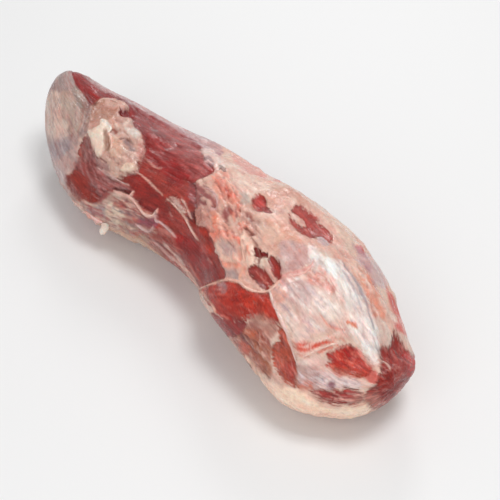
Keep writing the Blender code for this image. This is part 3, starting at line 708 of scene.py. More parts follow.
# Width in pixels, colour, opacity, rise in millimetres and line, painted over the patches
LINES = {
    # Painted shadow: dark red line where the raised rim shades the lean beside it
    "rim shade": (4, (124, 20, 20), 0.8, -0.8, "137,201 141,205 146,208 154,210"),
    "streak b": (1.7, (200, 146, 138), 0.85, 0.3, "142,155 152,164 157,167 161,167"),
    "fold band": (3, (230, 194, 186), 0.9, 0.5, "203,151 211,153 219,158"),
    # Painted highlight along the ridge of the fold
    "fold painted highlight": (2, (238, 202, 200), 0.9, 0.3, "204,161 208,161 211,163"),
    # Painted shade in the creases of the fat and between the salmon lumps
    "crease top shade": (2, (96, 64, 56), 0.9, -0.8, "219,168 222,170 226,173"),
    "salmon crease shade": (2.2, (166, 70, 54), 0.9, -0.8, "225,189 228,193 229,198"),
    "loop shade": (1.7, (112, 72, 80), 0.9, -0.5, "203,186 209,189 214,194 216.5,200 216.5,206 212,208.5"),
    "mottle spike": (1.8, (240, 184, 166), 0.9, 0.5, "237,208 239,212 241,217"),
    # Painted highlight along the orange band
    "band painted highlight": (2, (250, 172, 156), 0.8, 0.4, "222,235 227,239 232,242"),
    # Painted shade in the crease above the cream lobe
    "lobe crease shade": (2.2, (124, 74, 66), 0.9, -0.8, "243,227 248,230 253,234"),
    "low ridge": (3, (236, 184, 162), 0.9, 0.6, "244,267 242,273 239,280"),
    "peach ridge": (3, (242, 200, 182), 0.8, 0.6, "217,250 228,260 242,263"),
    # Painted shade down the cream lobe's shaded right side
    "lobe shade": (2.4, (140, 92, 84), 0.85, -0.9, "251,237 257,246 260,256 258,267"),
    "fold ridge low": (2, (214, 170, 170), 0.8, 0.4, "280,289 289,284 302,281"),
    "band red a": (3.6, (216, 92, 74), 0.9, -0.2, "312,347.5 320,344 327,342"),
    "band red b": (2.4, (224, 116, 98), 0.8, -0.2, "318,352 326,349 333,347.5"),
    "band strand": (1.8, (244, 204, 192), 0.9, 0.5, "306,346 328,338 338,335.5 346,336"),
    "patch fleck a": (2.4, (236, 166, 156), 0.85, 0.3, "336,349.5 342,346.5 349,345"),
    "patch fleck c": (2, (234, 156, 146), 0.8, 0.4, "355,347 361,353 368,366"),
    "blob edge": (2.4, (238, 200, 190), 0.9, 0.6, "358,380 363,383 369,385 376,385"),
    "low gap": (2.6, (224, 176, 164), 0.9, 0.4, "361,391 363.5,396 365,402"),
    # Painted shade in the lump's crease
    "lump crease shade": (2, (122, 88, 80), 0.8, -0.8, "119,139 125,139 132,142"),
    "lump line": (1.8, (130, 80, 76), 0.9, -0.6, "97,157 102,159 107,163"),
    "flap rim down": (2.4, (228, 184, 172), 1, 0.7, "269,292 273,300 275,307 282,325 288,335"),
    "flap fold": (2.6, (228, 168, 162), 0.9, 0.5, "277,283 285,276 295,272 304,271 311,266 314,260"),
    "edge strand": (3, (222, 180, 168), 0.9, 0.4, "160,250 179,265 187,273 197,287 201,291"),
    "left edge line": (2.2, (224, 178, 162), 0.9, 0.4, "200,289 206,298 213,306 216,314"),
    "strand c": (2.6, (200, 168, 162), 0.9, 0.3, "162,243 168,250 184,266"),
    "strand d": (2.2, (196, 158, 156), 0.8, 0.3, "150,240 166,254 174,262"),
    "fat edge left": (5, (218, 186, 164), 0.9, 0.5, "96,222 120,232 138,242 152,252 166,262"),
    "tendon line a": (2.4, (180, 174, 182), 0.7, -0.3, "336,264 346,276 355,292 362,308"),
    "tendon line b": (2.4, (158, 150, 160), 0.75, -0.3, "342,262 352,276 361,292 368,310 374,330"),
    "pink line": (2.4, (230, 152, 136), 0.8, 0.3, "320,314 326,322 334,328 345,330"),
    "orange line": (3.4, (224, 132, 104), 0.9, 0.3, "346,322 352,323 357,328"),
}

# Strands that stand proud: half width, half height and lift in millimetres, colour and line
STRANDS = {
    "rim": (1, 0.8, 0.1, (226, 184, 172),
        "114,191 123,194 132,199 141,211 145,215 149,216 153,215 156,210"),
    "rim spur a": (0.55, 0.5, 0.1, (228, 186, 176), "129,196 131,194 133,191"),
    "rim spur b": (0.55, 0.5, 0.1, (230, 190, 180), "152,216 155,213 157,208"),
    "streak a": (0.4, 0.3, 0, (214, 168, 158), "134,172 142,175 157,190 162,195"),
    "triangle edge": (0.55, 0.5, 0, (224, 186, 174), "168,199 182,214 194,235 198,240"),
    "triangle tail": (0.5, 0.45, 0, (214, 176, 168), "180,198 185,204 190,218"),
    "flap rim": (0.85, 0.7, 0.1, (238, 194, 178),
        "199,289 206,286 224,280 231,280 239,282 245,287 251,290 259,292 268,291 274,287 280,281"),
    "flap side": (1, 0.6, 0, (238, 208, 200), "270,291 273,302 278,313 285,328 291,345 297,364"),
    "fold ridge": (0.8, 0.7, 0.1, (234, 180, 170), "283,280 300,274 308,270 312,265"),
    "pair strand": (0.6, 0.5, 0, (230, 190, 178), "265,266 273,280 277,284"),
    "strand a": (0.7, 0.5, 0, (206, 170, 168), "155,211 155,221 161,223 175,237"),
    "strand b": (0.6, 0.5, 0, (214, 182, 180), "136,224 144,231 150,231 152,227"),
    "lump top rim": (0.7, 0.7, 0.1, (226, 192, 180), "97,103 103,99 111,100 124,105 128,108"),
    "lump fold": (1, 1, 0.3, (238, 200, 184), "108,133 111,138 112,143 111,149"),
    "lump chunk ridge": (1, 0.8, 0.3, (246, 232, 220), "102,120 106,123 110,128 108,132"),
    "lump outer": (0.6, 0.4, 0, (206, 170, 166), "97,167 104,172 121,182 128,185"),
    "loop a": (0.5, 0.4, 0.1, (216, 176, 174), "205,187 212,192 217,200 216,207 212,211"),
    "upright ridge": (0.8, 0.7, 0.1, (236, 192, 174), "242,245 243,253 244,262"),
    "end strand": (0.5, 0.4, 0, (214, 172, 162), "377,360 383,361.5 388,365 391,370"),
    "band light": (0.7, 0.5, 0, (244, 208, 194), "301,358 322,348 333,344 341,342"),
    "nub": (1.3, 1.1, 0.6, (242, 198, 190), "90,214 94,217.5 99,220.5 103,221.5"),
    "fringe a": (0.9, 0.8, 0.3, (222, 170, 158), "84,211 90,214 96,219"),
    "fringe b": (0.8, 0.7, 0.3, (220, 184, 172), "72,199 77,204 83,208"),
}
WIDEST_STRAND = 2 * max(row[0] for row in STRANDS.values())
# How a strand is painted under its raised form: width in pixels from its half width, opacity, rise
STRAND_PAINT_WIDTH = (2.2, 0.9)
STRAND_PAINT_OPACITY = 0.9
STRAND_PAINT_RISE = 0.5
# Shape of a strand: rounds of smoothing, swell and end share of its width, size and share of its
# unevenness, size of its shade's noise and its share
STRAND_SMOOTHINGS = 2
STRAND_TAPER = (0.8, 0.12)
STRAND_UNEVEN = (0.0036, 0.7)
STRAND_SHADE = (0.003, 0.06)
STRAND_SIDES = 10
# Dip of a strand into the surface: size of the noise in metres, depth, mean and highest in millimetres
STRAND_DIP_SIZE = 0.0060
STRAND_DIP = 0.7
STRAND_DIP_MEAN = 0.3
STRAND_DIP_TOP = 0.3


def ease(value):
    """Smooth step from 0 to 1."""
    value = np.clip(value, 0, 1)
    return value * value * (3 - 2 * value)


def edge(signed, reach):
    """Eased step across an edge, from its start outside it and over its run."""
    start, run = reach
    return ease((signed + start) / run)


def smooth_through(at, known, values):
    """Smooth curve through the given values, by cubic pieces with shared slopes."""
    known = np.asarray(known)
    values = np.asarray(values)
    gaps = np.diff(known)
    rises = np.diff(values) / gaps
    slopes = np.empty_like(values)
    slopes[0] = rises[0]
    slopes[-1] = rises[-1]
    slopes[1:-1] = (rises[:-1] * gaps[1:] + rises[1:] * gaps[:-1]) / (gaps[1:] + gaps[:-1])
    piece = np.clip(np.searchsorted(known, at, side="right") - 1, 0, len(gaps) - 1)
    share = (at - known[piece]) / gaps[piece]
    start = (2 * share ** 3 - 3 * share ** 2 + 1) * values[piece]
    end = (3 * share ** 2 - 2 * share ** 3) * values[piece + 1]
    leave = (share ** 3 - 2 * share ** 2 + share) * gaps[piece] * slopes[piece]
    arrive = (share ** 3 - share ** 2) * gaps[piece] * slopes[piece + 1]
    return start + end + leave + arrive


def tapered(share, swell, end):
    """Width along a line from its ends to its middle: half a circle's rise, added to the end's share."""
    return np.sqrt(np.clip(4 * share * (1 - share), 0, 1)) * swell + end


def end_round(distance, reach, power):
    """Share of the full section left at a distance from an end."""
    gone = np.clip(1 - distance / reach, 0, 1)
    return np.maximum(1 - gone ** power, 0) ** (1 / power)


def rest_on_plane(height):
    """Heights below the plane become flat, with a soft turn into the flat."""
    turn = (height + FLAT_SOFTNESS) ** 2 / (4 * FLAT_SOFTNESS)
    turned = np.where(height < -FLAT_SOFTNESS, 0.0, turn)
    return np.where(height > FLAT_SOFTNESS, height, turned)


def body_point(along, around):
    """Point of the plain body: an ellipse at each distance along, closed at both ends."""
    known, half_width, half_height, aside = np.array(STATIONS).T
    width = smooth_through(along, known, half_width)
    height = smooth_through(along, known, half_height)
    side = smooth_through(along, known, aside)
    size = (end_round(along, NARROW_END_ROUND, NARROW_END_POWER)
            * end_round(LENGTH - along, THICK_END_ROUND, THICK_END_POWER))
    lift = END_LIFT * (np.clip(1 - along / NARROW_LIFT_REACH, 0, 1) ** 2
                       + np.clip(1 - (LENGTH - along) / THICK_LIFT_REACH, 0, 1) ** 2)
    x = along - LENGTH / 2 + 0 * around
    y = side + width * size * np.cos(around)
    z = rest_on_plane(MIDDLE_SHARE * height + lift + height * size * np.sin(around))
    return np.stack([x, y, z], axis=-1)


def patch(point, place):
    """Round-edged patch on the surface, 1 in its middle and 0 past its reach."""
    along, degrees, reach_along, reach_across = place
    away = point - body_point(np.array(along), np.array(math.radians(degrees)))
    across = np.hypot(away[..., 1], away[..., 2])
    spread = (away[..., 0] / reach_along) ** 2 + (across / reach_across) ** 2
    return np.clip(1 - spread, 0, 1) ** 2


def flap_rise(along, around):
    """Step up behind the flap's edge, dying away towards the thick end and the sides."""
    degrees, starts = np.array(FLAP_EDGE).T
    turned = np.radians(degrees)
    beyond = along - smooth_through(np.clip(around, turned[0], turned[-1]), turned, starts)
    rise = ease(beyond / FLAP_EDGE_WIDTH) * np.exp(-np.clip(beyond, 0, None) / FLAP_FADE)
    sides = (ease((around - turned[0]) / FLAP_SIDE_FADE)
             * ease((turned[-1] - around) / FLAP_SIDE_FADE))
    return FLAP_RISE * rise * sides


def tendon_rise(along, around):
    """Rounded ridge that follows the tendon's line."""
    known, degrees = np.array(TENDON_LINE).T
    line = smooth_through(np.clip(along, known[0], known[-1]), known, np.radians(degrees))
    across = (around - line) * MEAN_RADIUS / TENDON_HALF_WIDTH
    run = ease((along - known[0]) / TENDON_FADE) * ease((known[-1] - along) / TENDON_FADE)
    return TENDON_RISE * np.exp(-across ** 2) * run


def furrows(along, around):
    """Shallow slanting furrows between the muscle's bundles, on the +Y side."""
    across = around * MEAN_RADIUS + along * FURROW_SLANT
    wave = np.cos(2 * math.pi * across / FURROW_PITCH)
    side = ease((FURROW_TOP - around) / FURROW_SIDE_FADE)
    ends = ease(along / FURROW_END_FADE) * ease((LENGTH - along) / FURROW_END_FADE)
    return -FURROW_DEPTH * wave * side * ends


def relief(along, around, point):
    """All that the solid has proud of its plain form or below it, along its normal."""
    push = flap_rise(along, around) + tendon_rise(along, around) + furrows(along, around)
    for *place, height in MOUNDS:
        push = push + height * patch(point, place)
    for *place, depth in HOLLOWS:
        push = push - depth * patch(point, place)
    return push * ease(point[..., 2] / RELIEF_FADE)


def outward(along, around):
    """Outward directions of the plain body, from its slopes along and around."""
    forward = body_point(along + SMALL_STEP, around) - body_point(along - SMALL_STEP, around)
    turning = body_point(along, around + SMALL_STEP) - body_point(along, around - SMALL_STEP)
    normal = np.cross(turning, forward)
    return normal / np.maximum(np.linalg.norm(normal, axis=-1, keepdims=True), LEAST_NORMAL)


def sideways_shift():
    """How far the solid stands to the side of the formula's frame, read at its -X tip."""
    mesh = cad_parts[CAD_NODE].data
    points = np.empty(len(mesh.vertices) * 3)
    mesh.vertices.foreach_get("co", points)
    points = points.reshape(-1, 3)
    tip = points[np.argmin(points[:, 0])]
    return np.array([0.0, tip[1] - STATIONS[0][3], 0.0])


def ring_places(count):
    """Distances along, evenly spread by the length of the top and side profiles."""
    even = 0.5 - 0.5 * np.cos(math.pi * np.linspace(0, 1, PROFILE_SAMPLES))
    along = LENGTH * even
    steps = np.zeros(len(along) - 1)
    for degrees in (0, 90, 180):
        line = body_point(along, np.radians(np.full(len(along), float(degrees))))
        steps += np.linalg.norm(np.diff(line, axis=0), axis=1)
    run = np.concatenate([[0], np.cumsum(steps)])
    return np.interp(np.linspace(0, run[-1], count + 1), run, along)


def ring_angles():
    """Angles round a section, close together above and wider apart underneath."""
    upper = UPPER_START + UPPER_TURN * np.arange(UPPER_POINTS) / UPPER_POINTS
    lower_turn = 2 * math.pi - UPPER_TURN
    lower = UPPER_START + UPPER_TURN + lower_turn * np.arange(LOWER_POINTS) / LOWER_POINTS
    return np.concatenate([upper, lower])


def lattice_noise(place, size, seed):
    """Smooth noise from -1 to 1: seeded values on a cubic lattice, joined by easing."""
    table = np.random.default_rng(seed).uniform(-1, 1, (NOISE_CELLS,) * 3)
    at = place / size
    low = np.floor(at).astype(int)
    part = ease(at - low)
    total = 0
    for corner in range(8):
        step = np.array([corner & 1, corner >> 1 & 1, corner >> 2 & 1])
        index = (low + step) % NOISE_CELLS
        weight = np.prod(np.where(step == 1, part, 1 - part), axis=-1)
        total = total + weight * table[index[..., 0], index[..., 1], index[..., 2]]
    return total


def layered_noise(place, size, seed, layers=3):
    """Lattice noise in layers, each half as large and half as strong as the last."""
    total = 0
    for layer in range(layers):
        total = total + lattice_noise(place, size / 2 ** layer, seed + layer) / 2 ** layer
    return total / (2 - 2 ** (1 - layers))


def wander(place, size, reach, seed):
    """Smooth sideways wander of the pixels, so that no painted edge runs clean."""
    across = layered_noise(place, size, seed)
    down = layered_noise(place, size, seed + SEED_STEP)
    return reach * np.stack([across, down], axis=-1)


def camera_frame():
    """Camera place and its right, down and forward directions, from azimuth, elevation and roll."""
    turn = CAMERA_AZIMUTH
    tilt = CAMERA_ELEVATION
    back = np.array([math.sin(turn) * math.cos(tilt), -math.cos(turn) * math.cos(tilt), math.sin(tilt)])
    right = np.array([math.cos(turn), math.sin(turn), 0.0])
    up = np.cross(back, right)
    turned_right = right * math.cos(CAMERA_ROLL) - up * math.sin(CAMERA_ROLL)
    turned_up = up * math.cos(CAMERA_ROLL) + right * math.sin(CAMERA_ROLL)
    return np.array(CAMERA_AIM) + CAMERA_DISTANCE * back, turned_right, -turned_up, -back


def to_picture(points):
    """Pixel of the picture in which each point shows, ignoring what hides it."""
    place, right, down, forward = camera_frame()
    away = points - place
    focal = LENS / SENSOR * PICTURE
    depth = away @ forward
    return np.stack([away @ right, away @ down], axis=-1) * focal / depth[..., None] + PICTURE / 2


def places(outline):
    """Points of an outline or a line that is written as words such as 12,34."""
    if isinstance(outline, str):
        outline = [word.split(",") for word in outline.split()]
    return np.asarray(outline, float)


def rounded(outline, closed=True, parts=4):
    """Smooth curve through the points of an outline or a line.

    Between two points it is the cubic whose slope at each one is half the step between that
    point's two neighbours.
    """
    points = places(outline)
    if closed:
        before, start, end, after = (np.roll(points, shift, axis=0) for shift in (1, 0, -1, -2))
    else:
        first = 2 * points[0] - points[1]
        last = 2 * points[-1] - points[-2]
        longer = np.concatenate([[first], points, [last]])
        before, start, end, after = longer[:-3], longer[1:-2], longer[2:-1], longer[3:]
    share = (np.arange(parts) / parts)[:, None, None]
    curve = 0.5 * (2 * start + (end - before) * share
                   + (2 * before - 5 * start + 4 * end - after) * share ** 2
                   + (3 * start - before - 3 * end + after) * share ** 3)
    curve = curve.transpose(1, 0, 2).reshape(-1, points.shape[1])
    return curve if closed else np.concatenate([curve, points[-1:]])


def to_line(points, line):
    """Distance from each point to a line of straight pieces, and the share run along it."""
    starts, ends = line[:-1], line[1:]
    run = ends - starts
    away = points[:, None] - starts
    share = np.clip((away * run).sum(-1) / np.maximum((run * run).sum(-1), TINY), 0, 1)
    gap = np.linalg.norm(away - share[..., None] * run, axis=-1)
    nearest = gap.argmin(axis=1)
    rows = np.arange(len(points))
    return gap[rows, nearest], (nearest + share[rows, nearest]) / len(starts)


def inside(points, outline):
    """Whether each point lies within a closed outline, by counting edges crossed."""
    across, down = points[:, :1], points[:, 1:]
    start_across, start_down = outline.T
    end_across, end_down = np.roll(outline, -1, axis=0).T
    spans = (start_down > down) != (end_down > down)
    rise = np.where(end_down == start_down, TINY, end_down - start_down)
    crossing = (end_across - start_across) * (down - start_down) / rise + start_across
    return (spans & (across < crossing)).sum(axis=1) % 2 == 1


def flow(points, flows):
    """Direction in which the fibres run at each point, from the guide lines nearby."""
    guides = [rounded(line, closed=False, parts=3) for line in flows]
    middles = np.concatenate([(line[1:] + line[:-1]) / 2 for line in guides])
    runs = np.concatenate([line[1:] - line[:-1] for line in guides])
    runs /= np.linalg.norm(runs, axis=1, keepdims=True)
    gap = np.linalg.norm(points[:, None] - middles, axis=-1)
    aim = ((1 / (gap + GUIDE_SOFTNESS) ** GUIDE_POWER)[..., None] * runs).sum(axis=1)
    return aim / np.maximum(np.linalg.norm(aim, axis=1, keepdims=True), TINY)


def strewn(outline, count, length, flows, seed):
    """Short curved lines that follow the flow, strewn at random inside an outline."""
    random = np.random.default_rng(seed)
    curve = rounded(outline)
    spots = random.uniform(curve.min(axis=0), curve.max(axis=0), (count * STREAK_TRIES, 2))
    spots = spots[inside(spots, curve)][:count]
    stride = length * random.uniform(*STREAK_LENGTHS, (len(spots), 1)) / (2 * STREAK_STEPS)
    bend = random.normal(0, STREAK_BEND, (len(spots), 1))
    ahead, behind = [spots], []
    for way, route in ((1, ahead), (-1, behind)):
        at = spots
        for _ in range(STREAK_STEPS):
            aim = flow(at, flows)
            aside = np.stack([-aim[:, 1], aim[:, 0]], axis=-1)
            at = at + way * stride * aim + stride * bend * aside
            route.append(at)
    return np.stack(behind[::-1] + ahead, axis=1), random


def near(points, line, margin):
    """Indices of the points within a margin of a line's box."""
    low, high = line.min(axis=0) - margin, line.max(axis=0) + margin
    return np.flatnonzero(((points >= low) & (points <= high)).all(axis=1))


def linear(colour):
    """Surface colour of a colour seen in the picture in 0 to 255, without the film's shine.

    Each share of 255 goes through the standard curve of a screen's colours, turned round.
    """
    share = np.asarray(colour, float) / 255
    light = np.where(share <= 0.04045, share / 12.92, ((share + 0.055) / 1.055) ** 2.4)
    return np.clip((light - SHINE_LIGHT) / (1 - SHINE_LIGHT), DARKEST, 1.0)


def solid(colour):
    """A picture colour as a socket's value."""
    return (*linear(colour), 1.0)


class Canvas:
    """What the tissue is at each point of a surface, painted in pixels of the picture.

    cover runs from -1 on bare lean to 1 under fat or membrane, and passes 0 at an outline.
    """

    def __init__(self, pixels, place, flows):
        count = len(pixels)
        self.flows = flows
        self.firm = pixels + wander(place, *FIRM_WANDER, SEEDS["firm wander"])
        self.soft = pixels + wander(place, *SOFT_WANDER, SEEDS["soft wander"])
        self.mottle = layered_noise(place, MOTTLE_SIZE, SEEDS["mottle"])
        self.cover = np.ones(count)
        self.cover_colour = np.tile(linear(CREAM), (count, 1))
        self.lean_colour = np.tile(linear(LEAN), (count, 1))
        self.fatness = np.full(count, PLAIN_FATNESS)
        self.blur = np.full(count, PLAIN_BLUR)
        self.height = np.zeros(count)

    def mix(self, values, rows, share, target):
        """Move the rows of an array towards a target by a share."""
        share = share if values.ndim == 1 else share[:, None]
        values[rows] += (target - values[rows]) * share

    def patch(self, tissue, colour, opacity, softness, rise, outline):
        """Paint a closed outline: its colour, its tissue and its rise."""
        pixels = self.soft if tissue == "tint" else self.firm
        curve = rounded(outline)
        rows = near(pixels, curve, MARGIN)
        if not len(rows):
            return
        points = pixels[rows]
        distance, _ = to_line(points, np.concatenate([curve, curve[:1]]))
        signed = np.where(inside(points, curve), distance, -distance)
        loose = signed + self.mottle[rows] * softness
        share = opacity * ease((loose + softness / 2) / softness)
        reach = max(COVER_REACH, COVER_SPREAD * softness)
        wide = opacity * ease((signed + softness / 2 + LEAN_SPREAD) / softness)
        if tissue != "tint":
            blur = np.clip(softness * BLUR[tissue], *BLUR_RANGE)
            self.mix(self.blur, rows, ease(signed / reach + BLUR_LEAD), blur)
        if tissue in ("skin", "fat"):
            self.cover[rows] = np.maximum(self.cover[rows], np.clip(signed / reach, -1, 1))
            self.mix(self.cover_colour, rows, share, linear(colour))
            self.mix(self.fatness, rows, share, 1.0 if tissue == "fat" else 0.0)
        elif tissue == "lean":
            self.cover[rows] = np.minimum(self.cover[rows], -np.clip(signed / reach, -1, 1))
            self.mix(self.lean_colour, rows, wide, linear(colour))
        else:
            self.mix(self.cover_colour, rows, share, linear(colour))
            self.mix(self.lean_colour, rows, share, linear(colour))
        self.height[rows] += rise * MM * edge(signed, RISE_EDGE)

    def line(self, width, colour, opacity, rise, line, tissue="both"):
        """Paint a tapering, uneven line over what is there, or only over the tissue named."""
        curve = rounded(line, closed=False)
        rows = near(self.firm, curve, MARGIN)
        if not len(rows):
            return
        gap, share = to_line(self.firm[rows], curve)
        waver, pace = LINE_WAVER
        half = width / 2 * tapered(share, *LINE_TAPER) * (1 + waver * np.sin(pace * share + curve[0, 0]))
        covered = ease(self.cover[rows] + 0.5)
        there = {"both": 1.0, "cover": covered, "lean": 1 - covered}[tissue]
        inner = edge(half - gap, LINE_EDGE) * opacity * there
        if tissue != "lean":
            self.mix(self.cover_colour, rows, inner, linear(colour))
        if tissue != "cover":
            self.mix(self.lean_colour, rows, inner, linear(colour))
        self.height[rows] += rise * MM * edge(half - gap, LINE_RISE_EDGE) * there

    def bump(self, middle, reach, rise):
        """Round swelling about a pixel of the picture."""
        spread = ((self.firm - middle) ** 2).sum(axis=1) / reach ** 2
        self.height += rise * MM * np.clip(1 - spread, 0, 1) ** 2

    def streaks(self, tissue, outline, count, length, width, colour, opacity, rise, seed):
        """Strew short lines along the flow in one tissue, each with its own width and shade."""
        lines, random = strewn(outline, count, length, self.flows, seed)
        for line in lines:
            scale = random.uniform(*STREAK_SIZES)
            shade = np.clip(np.array(colour) * random.uniform(*STREAK_SHADES), 0, 255)
            strength = opacity * random.uniform(*STREAK_OPACITIES)
            self.line(width * scale, shade, strength, rise * scale, line, tissue)


def far_side(canvas, place, along):
    """Base of what the picture doesn't show, before its outlines and streaks are painted.

    Silver membrane at the narrow end passes into lilac membrane over muscle and then into
    pink and cream fat.
    """
    broad = layered_noise(place * np.array(BACK_STRETCH), BACK_BROAD_SIZE, SEEDS["back broad"])
    mottle = layered_noise(place, BACK_MOTTLE_SIZE, SEEDS["back mottle"])
    silver_end, silver_fade = BACK_SILVER
    silver = ease((silver_end - along) / silver_fade)
    fat_start, fat_run = BACK_FAT_START
    fat = ease((along - fat_start + BACK_FAT_WANDER * broad) / fat_run)
    under = ease((UNDER_HEIGHT - place[:, 2]) / UNDER_HEIGHT)
    cover_colour = linear(LILAC) * (1 - fat)[:, None] + linear(BACK_CREAM) * fat[:, None]
    for share, colour in (
        (silver, SILVER),
        (BACK_MOTTLING * ease(mottle) * fat, PINK_FAT),
        (BACK_MOTTLING * ease(-mottle) * fat, WHITE_FAT),
        (UNDER_SHARE * under, UNDER_CREAM),
        (MAUVE_SHARE * ease(broad - MAUVE_LEVEL) * (1 - fat) * (1 - silver), MAUVE),
    ):
        cover_colour = cover_colour + (linear(colour) - cover_colour) * share[:, None]
    canvas.cover_colour[:] = cover_colour
    least, more = BACK_FATNESS
    canvas.fatness[:] = least + more * fat


def merge(canvas, behind, hidden):
    """Take the far side's tissue where the picture doesn't show the surface."""
    for name in ("cover", "blur", "cover_colour", "lean_colour", "fatness", "height"):
        canvas.mix(getattr(canvas, name), slice(None), hidden, getattr(behind, name))


def paint(canvas, patches, bumps, zones, streaks, lines, seed):
    """All patches, swellings, strewn streaks and single lines, in that order."""
    for row in patches.values():
        canvas.patch(*row)
    for middle, reach, rise in bumps:
        canvas.bump(np.array(middle, float), reach, rise)
    outlines = {name: row[-1] for name, row in patches.items()} | zones
    looks = [(tissue, outlines[zone], *look) for tissue, zone, group in streaks for look in group]
    for number, row in enumerate(looks):
        canvas.streaks(*row, seed=seed + number)
    for row in lines:
        canvas.line(*row)


class Surface:
    """Grid of the muscle's surface: places along, angles around, points, normals and canvas."""

    def __init__(self):
        self.along = ring_places(RINGS)[1:-1]
        self.around = ring_angles()
        along = self.along[:, None] + 0 * self.around
        around = self.around + 0 * along
        plain = body_point(along, around)
        self.normal = outward(along, around)
        coarse = plain + self.normal * relief(along, around, plain)[..., None]
        self.shift = sideways_shift()
        coarse = coarse + self.shift
        flat = coarse.reshape(-1, 3)
        pixels = to_picture(flat)
        to_camera = camera_frame()[0] - flat
        to_camera /= np.linalg.norm(to_camera, axis=1, keepdims=True)
        self.facing = (to_camera * self.normal.reshape(-1, 3)).sum(axis=1)
        hidden = ease((FACING_FULL - self.facing) / (FACING_FULL - FACING_NONE))
        self.canvas = Canvas(pixels, flat, FLOWS)
        wider, least = STRAND_PAINT_WIDTH
        under_strands = [
            (wider * half_width + least, colour, STRAND_PAINT_OPACITY, STRAND_PAINT_RISE, line)
            for half_width, _, _, colour, line in STRANDS.values()]
        lines = list(LINES.values()) + under_strands
        paint(self.canvas, PATCHES, BUMPS, ZONES, STREAKS, lines, SEEDS["streaks"])
        degrees = (np.degrees(around.ravel()) + BACK_START) % 360 - BACK_START
        behind = Canvas(np.stack([along.ravel() / MM, degrees], axis=-1), flat, BACK_FLOWS)
        far_side(behind, flat, along.ravel())
        lines = BACK_LINES.values()
        paint(behind, BACK_PATCHES, BACK_BUMPS, BACK_ZONES, BACK_STREAKS, lines, SEEDS["back streaks"])
        merge(self.canvas, behind, hidden)
        push = (self.canvas.height + self.lumps(flat)) * ease(flat[:, 2] / PLANE_FADE)
        self.points = flat + self.normal.reshape(-1, 3) * push[:, None]
        self.pixels = to_picture(self.points)

    def lumps(self, place):
        """Small uneven swellings: strong in fat, faint and long-grained in lean."""
        covered = ease(self.canvas.cover * 0.5 + 0.5)
        fat = covered * self.canvas.fatness
        lump = layered_noise(place, LUMP_SIZE, SEEDS["lumps"])
        knot = layered_noise(place, KNOT_SIZE, SEEDS["knots"], layers=2)
        cord = layered_noise(place * np.array(CORD_STRETCH), CORD_SIZE, SEEDS["cords"], layers=2)
        on_fat = (LUMP_ON_FAT * lump + KNOT_ON_FAT * knot) * fat
        return MM * (on_fat + LUMP_ELSEWHERE * lump * (1 - fat) + CORD_ON_LEAN * cord * (1 - covered))

    def at(self, pixels, lift=0.0):
        """Points and normals of the surface under pixels of the picture."""
        seen = np.flatnonzero(self.facing > FACING_SEEN)
        gap = np.linalg.norm(self.pixels[seen][None] - np.asarray(pixels)[:, None], axis=-1)
        nearest = np.argsort(gap, axis=1)[:, :NEAREST]
        close = np.take_along_axis(gap, nearest, axis=1)
        weight = 1 / (close + NEAREST_SOFTNESS) ** 2
        weight /= weight.sum(axis=1, keepdims=True)
        rows = seen[nearest]
        normal = (self.normal.reshape(-1, 3)[rows] * weight[..., None]).sum(axis=1)
        normal /= np.linalg.norm(normal, axis=1, keepdims=True)
        return (self.points[rows] * weight[..., None]).sum(axis=1) + lift * normal, normal


def put(tree, kind, values=None, **settings):
    """Add a node with its settings, and set or link its inputs."""
    node = tree.nodes.new(kind)
    for name, value in settings.items():
        setattr(node, name, value)
    for key, value in (values or {}).items():
        if isinstance(value, bpy.types.NodeSocket):
            tree.links.new(value, node.inputs[key])
        else:
            node.inputs[key].default_value = value
    return node


def calculate(tree, operation, first, second=0.0):
    """Math node on one or two values."""
    return put(tree, "ShaderNodeMath", {0: first, 1: second}, operation=operation).outputs[0]


def blend_colours(tree, share, first, second):
    """Mix of two colours by a share."""
    return put(tree, "ShaderNodeMix", {0: share, 6: first, 7: second}, data_type="RGBA").outputs[2]


def map_value(tree, value, low, high, to_low=0.0, to_high=1.0):
    """Value carried from one range to another, eased at its ends."""
    values = {"Value": value, "From Min": low, "From Max": high, "To Min": to_low, "To Max": to_high}
    return put(tree, "ShaderNodeMapRange", values, interpolation_type="SMOOTHSTEP").outputs["Result"]


def noise(tree, place, size, detail=2.0, roughness=0.5, distortion=0.0):
    """Noise whose features measure about the given size in metres."""
    values = {"Vector": place, "Scale": 1 / size, "Detail": detail, "Roughness": roughness,
              "Distortion": distortion}
    return put(tree, "ShaderNodeTexNoise", values).outputs["Fac"]


def stretch(tree, place, scale, turn=0.0):
    """Place turned about its third axis and then scaled."""
    values = {"Vector": place, "Angle": turn}
    return tinted(tree, put(tree, "ShaderNodeVectorRotate", values, rotation_type="Z_AXIS").outputs[0], scale)


def along_grain(tree, given, run, size, *details):
    """Noise drawn out along the fibres: its grain map is squeezed along them to a share."""
    return noise(tree, stretch(tree, given["Grain"], (run, 1.0, 1.0)), size, *details)


def times(tree, first, second):
    """Product of two values."""
    return calculate(tree, "MULTIPLY", first, second)


def toned(tree, colour, tone):
    """Colour times a value."""
    return put(tree, "ShaderNodeVectorMath", {0: colour, "Scale": tone}, operation="SCALE").outputs[0]


def tinted(tree, colour, tint):
    """Colour or place times another, each part by its own."""
    return put(tree, "ShaderNodeVectorMath", {0: colour, 1: tint}, operation="MULTIPLY").outputs[0]


def start_group(name, inputs, outputs):
    """Empty shader group with named sockets, and its two end nodes."""
    tree = bpy.data.node_groups.new(name, "ShaderNodeTree")
    for label, kind in inputs:
        tree.interface.new_socket(name=label, in_out="INPUT", socket_type="NodeSocket" + kind)
    for label, kind in outputs:
        tree.interface.new_socket(name=label, in_out="OUTPUT", socket_type="NodeSocket" + kind)
    start = tree.nodes.new("NodeGroupInput")
    end = tree.nodes.new("NodeGroupOutput")
    return tree, start.outputs, end.inputs


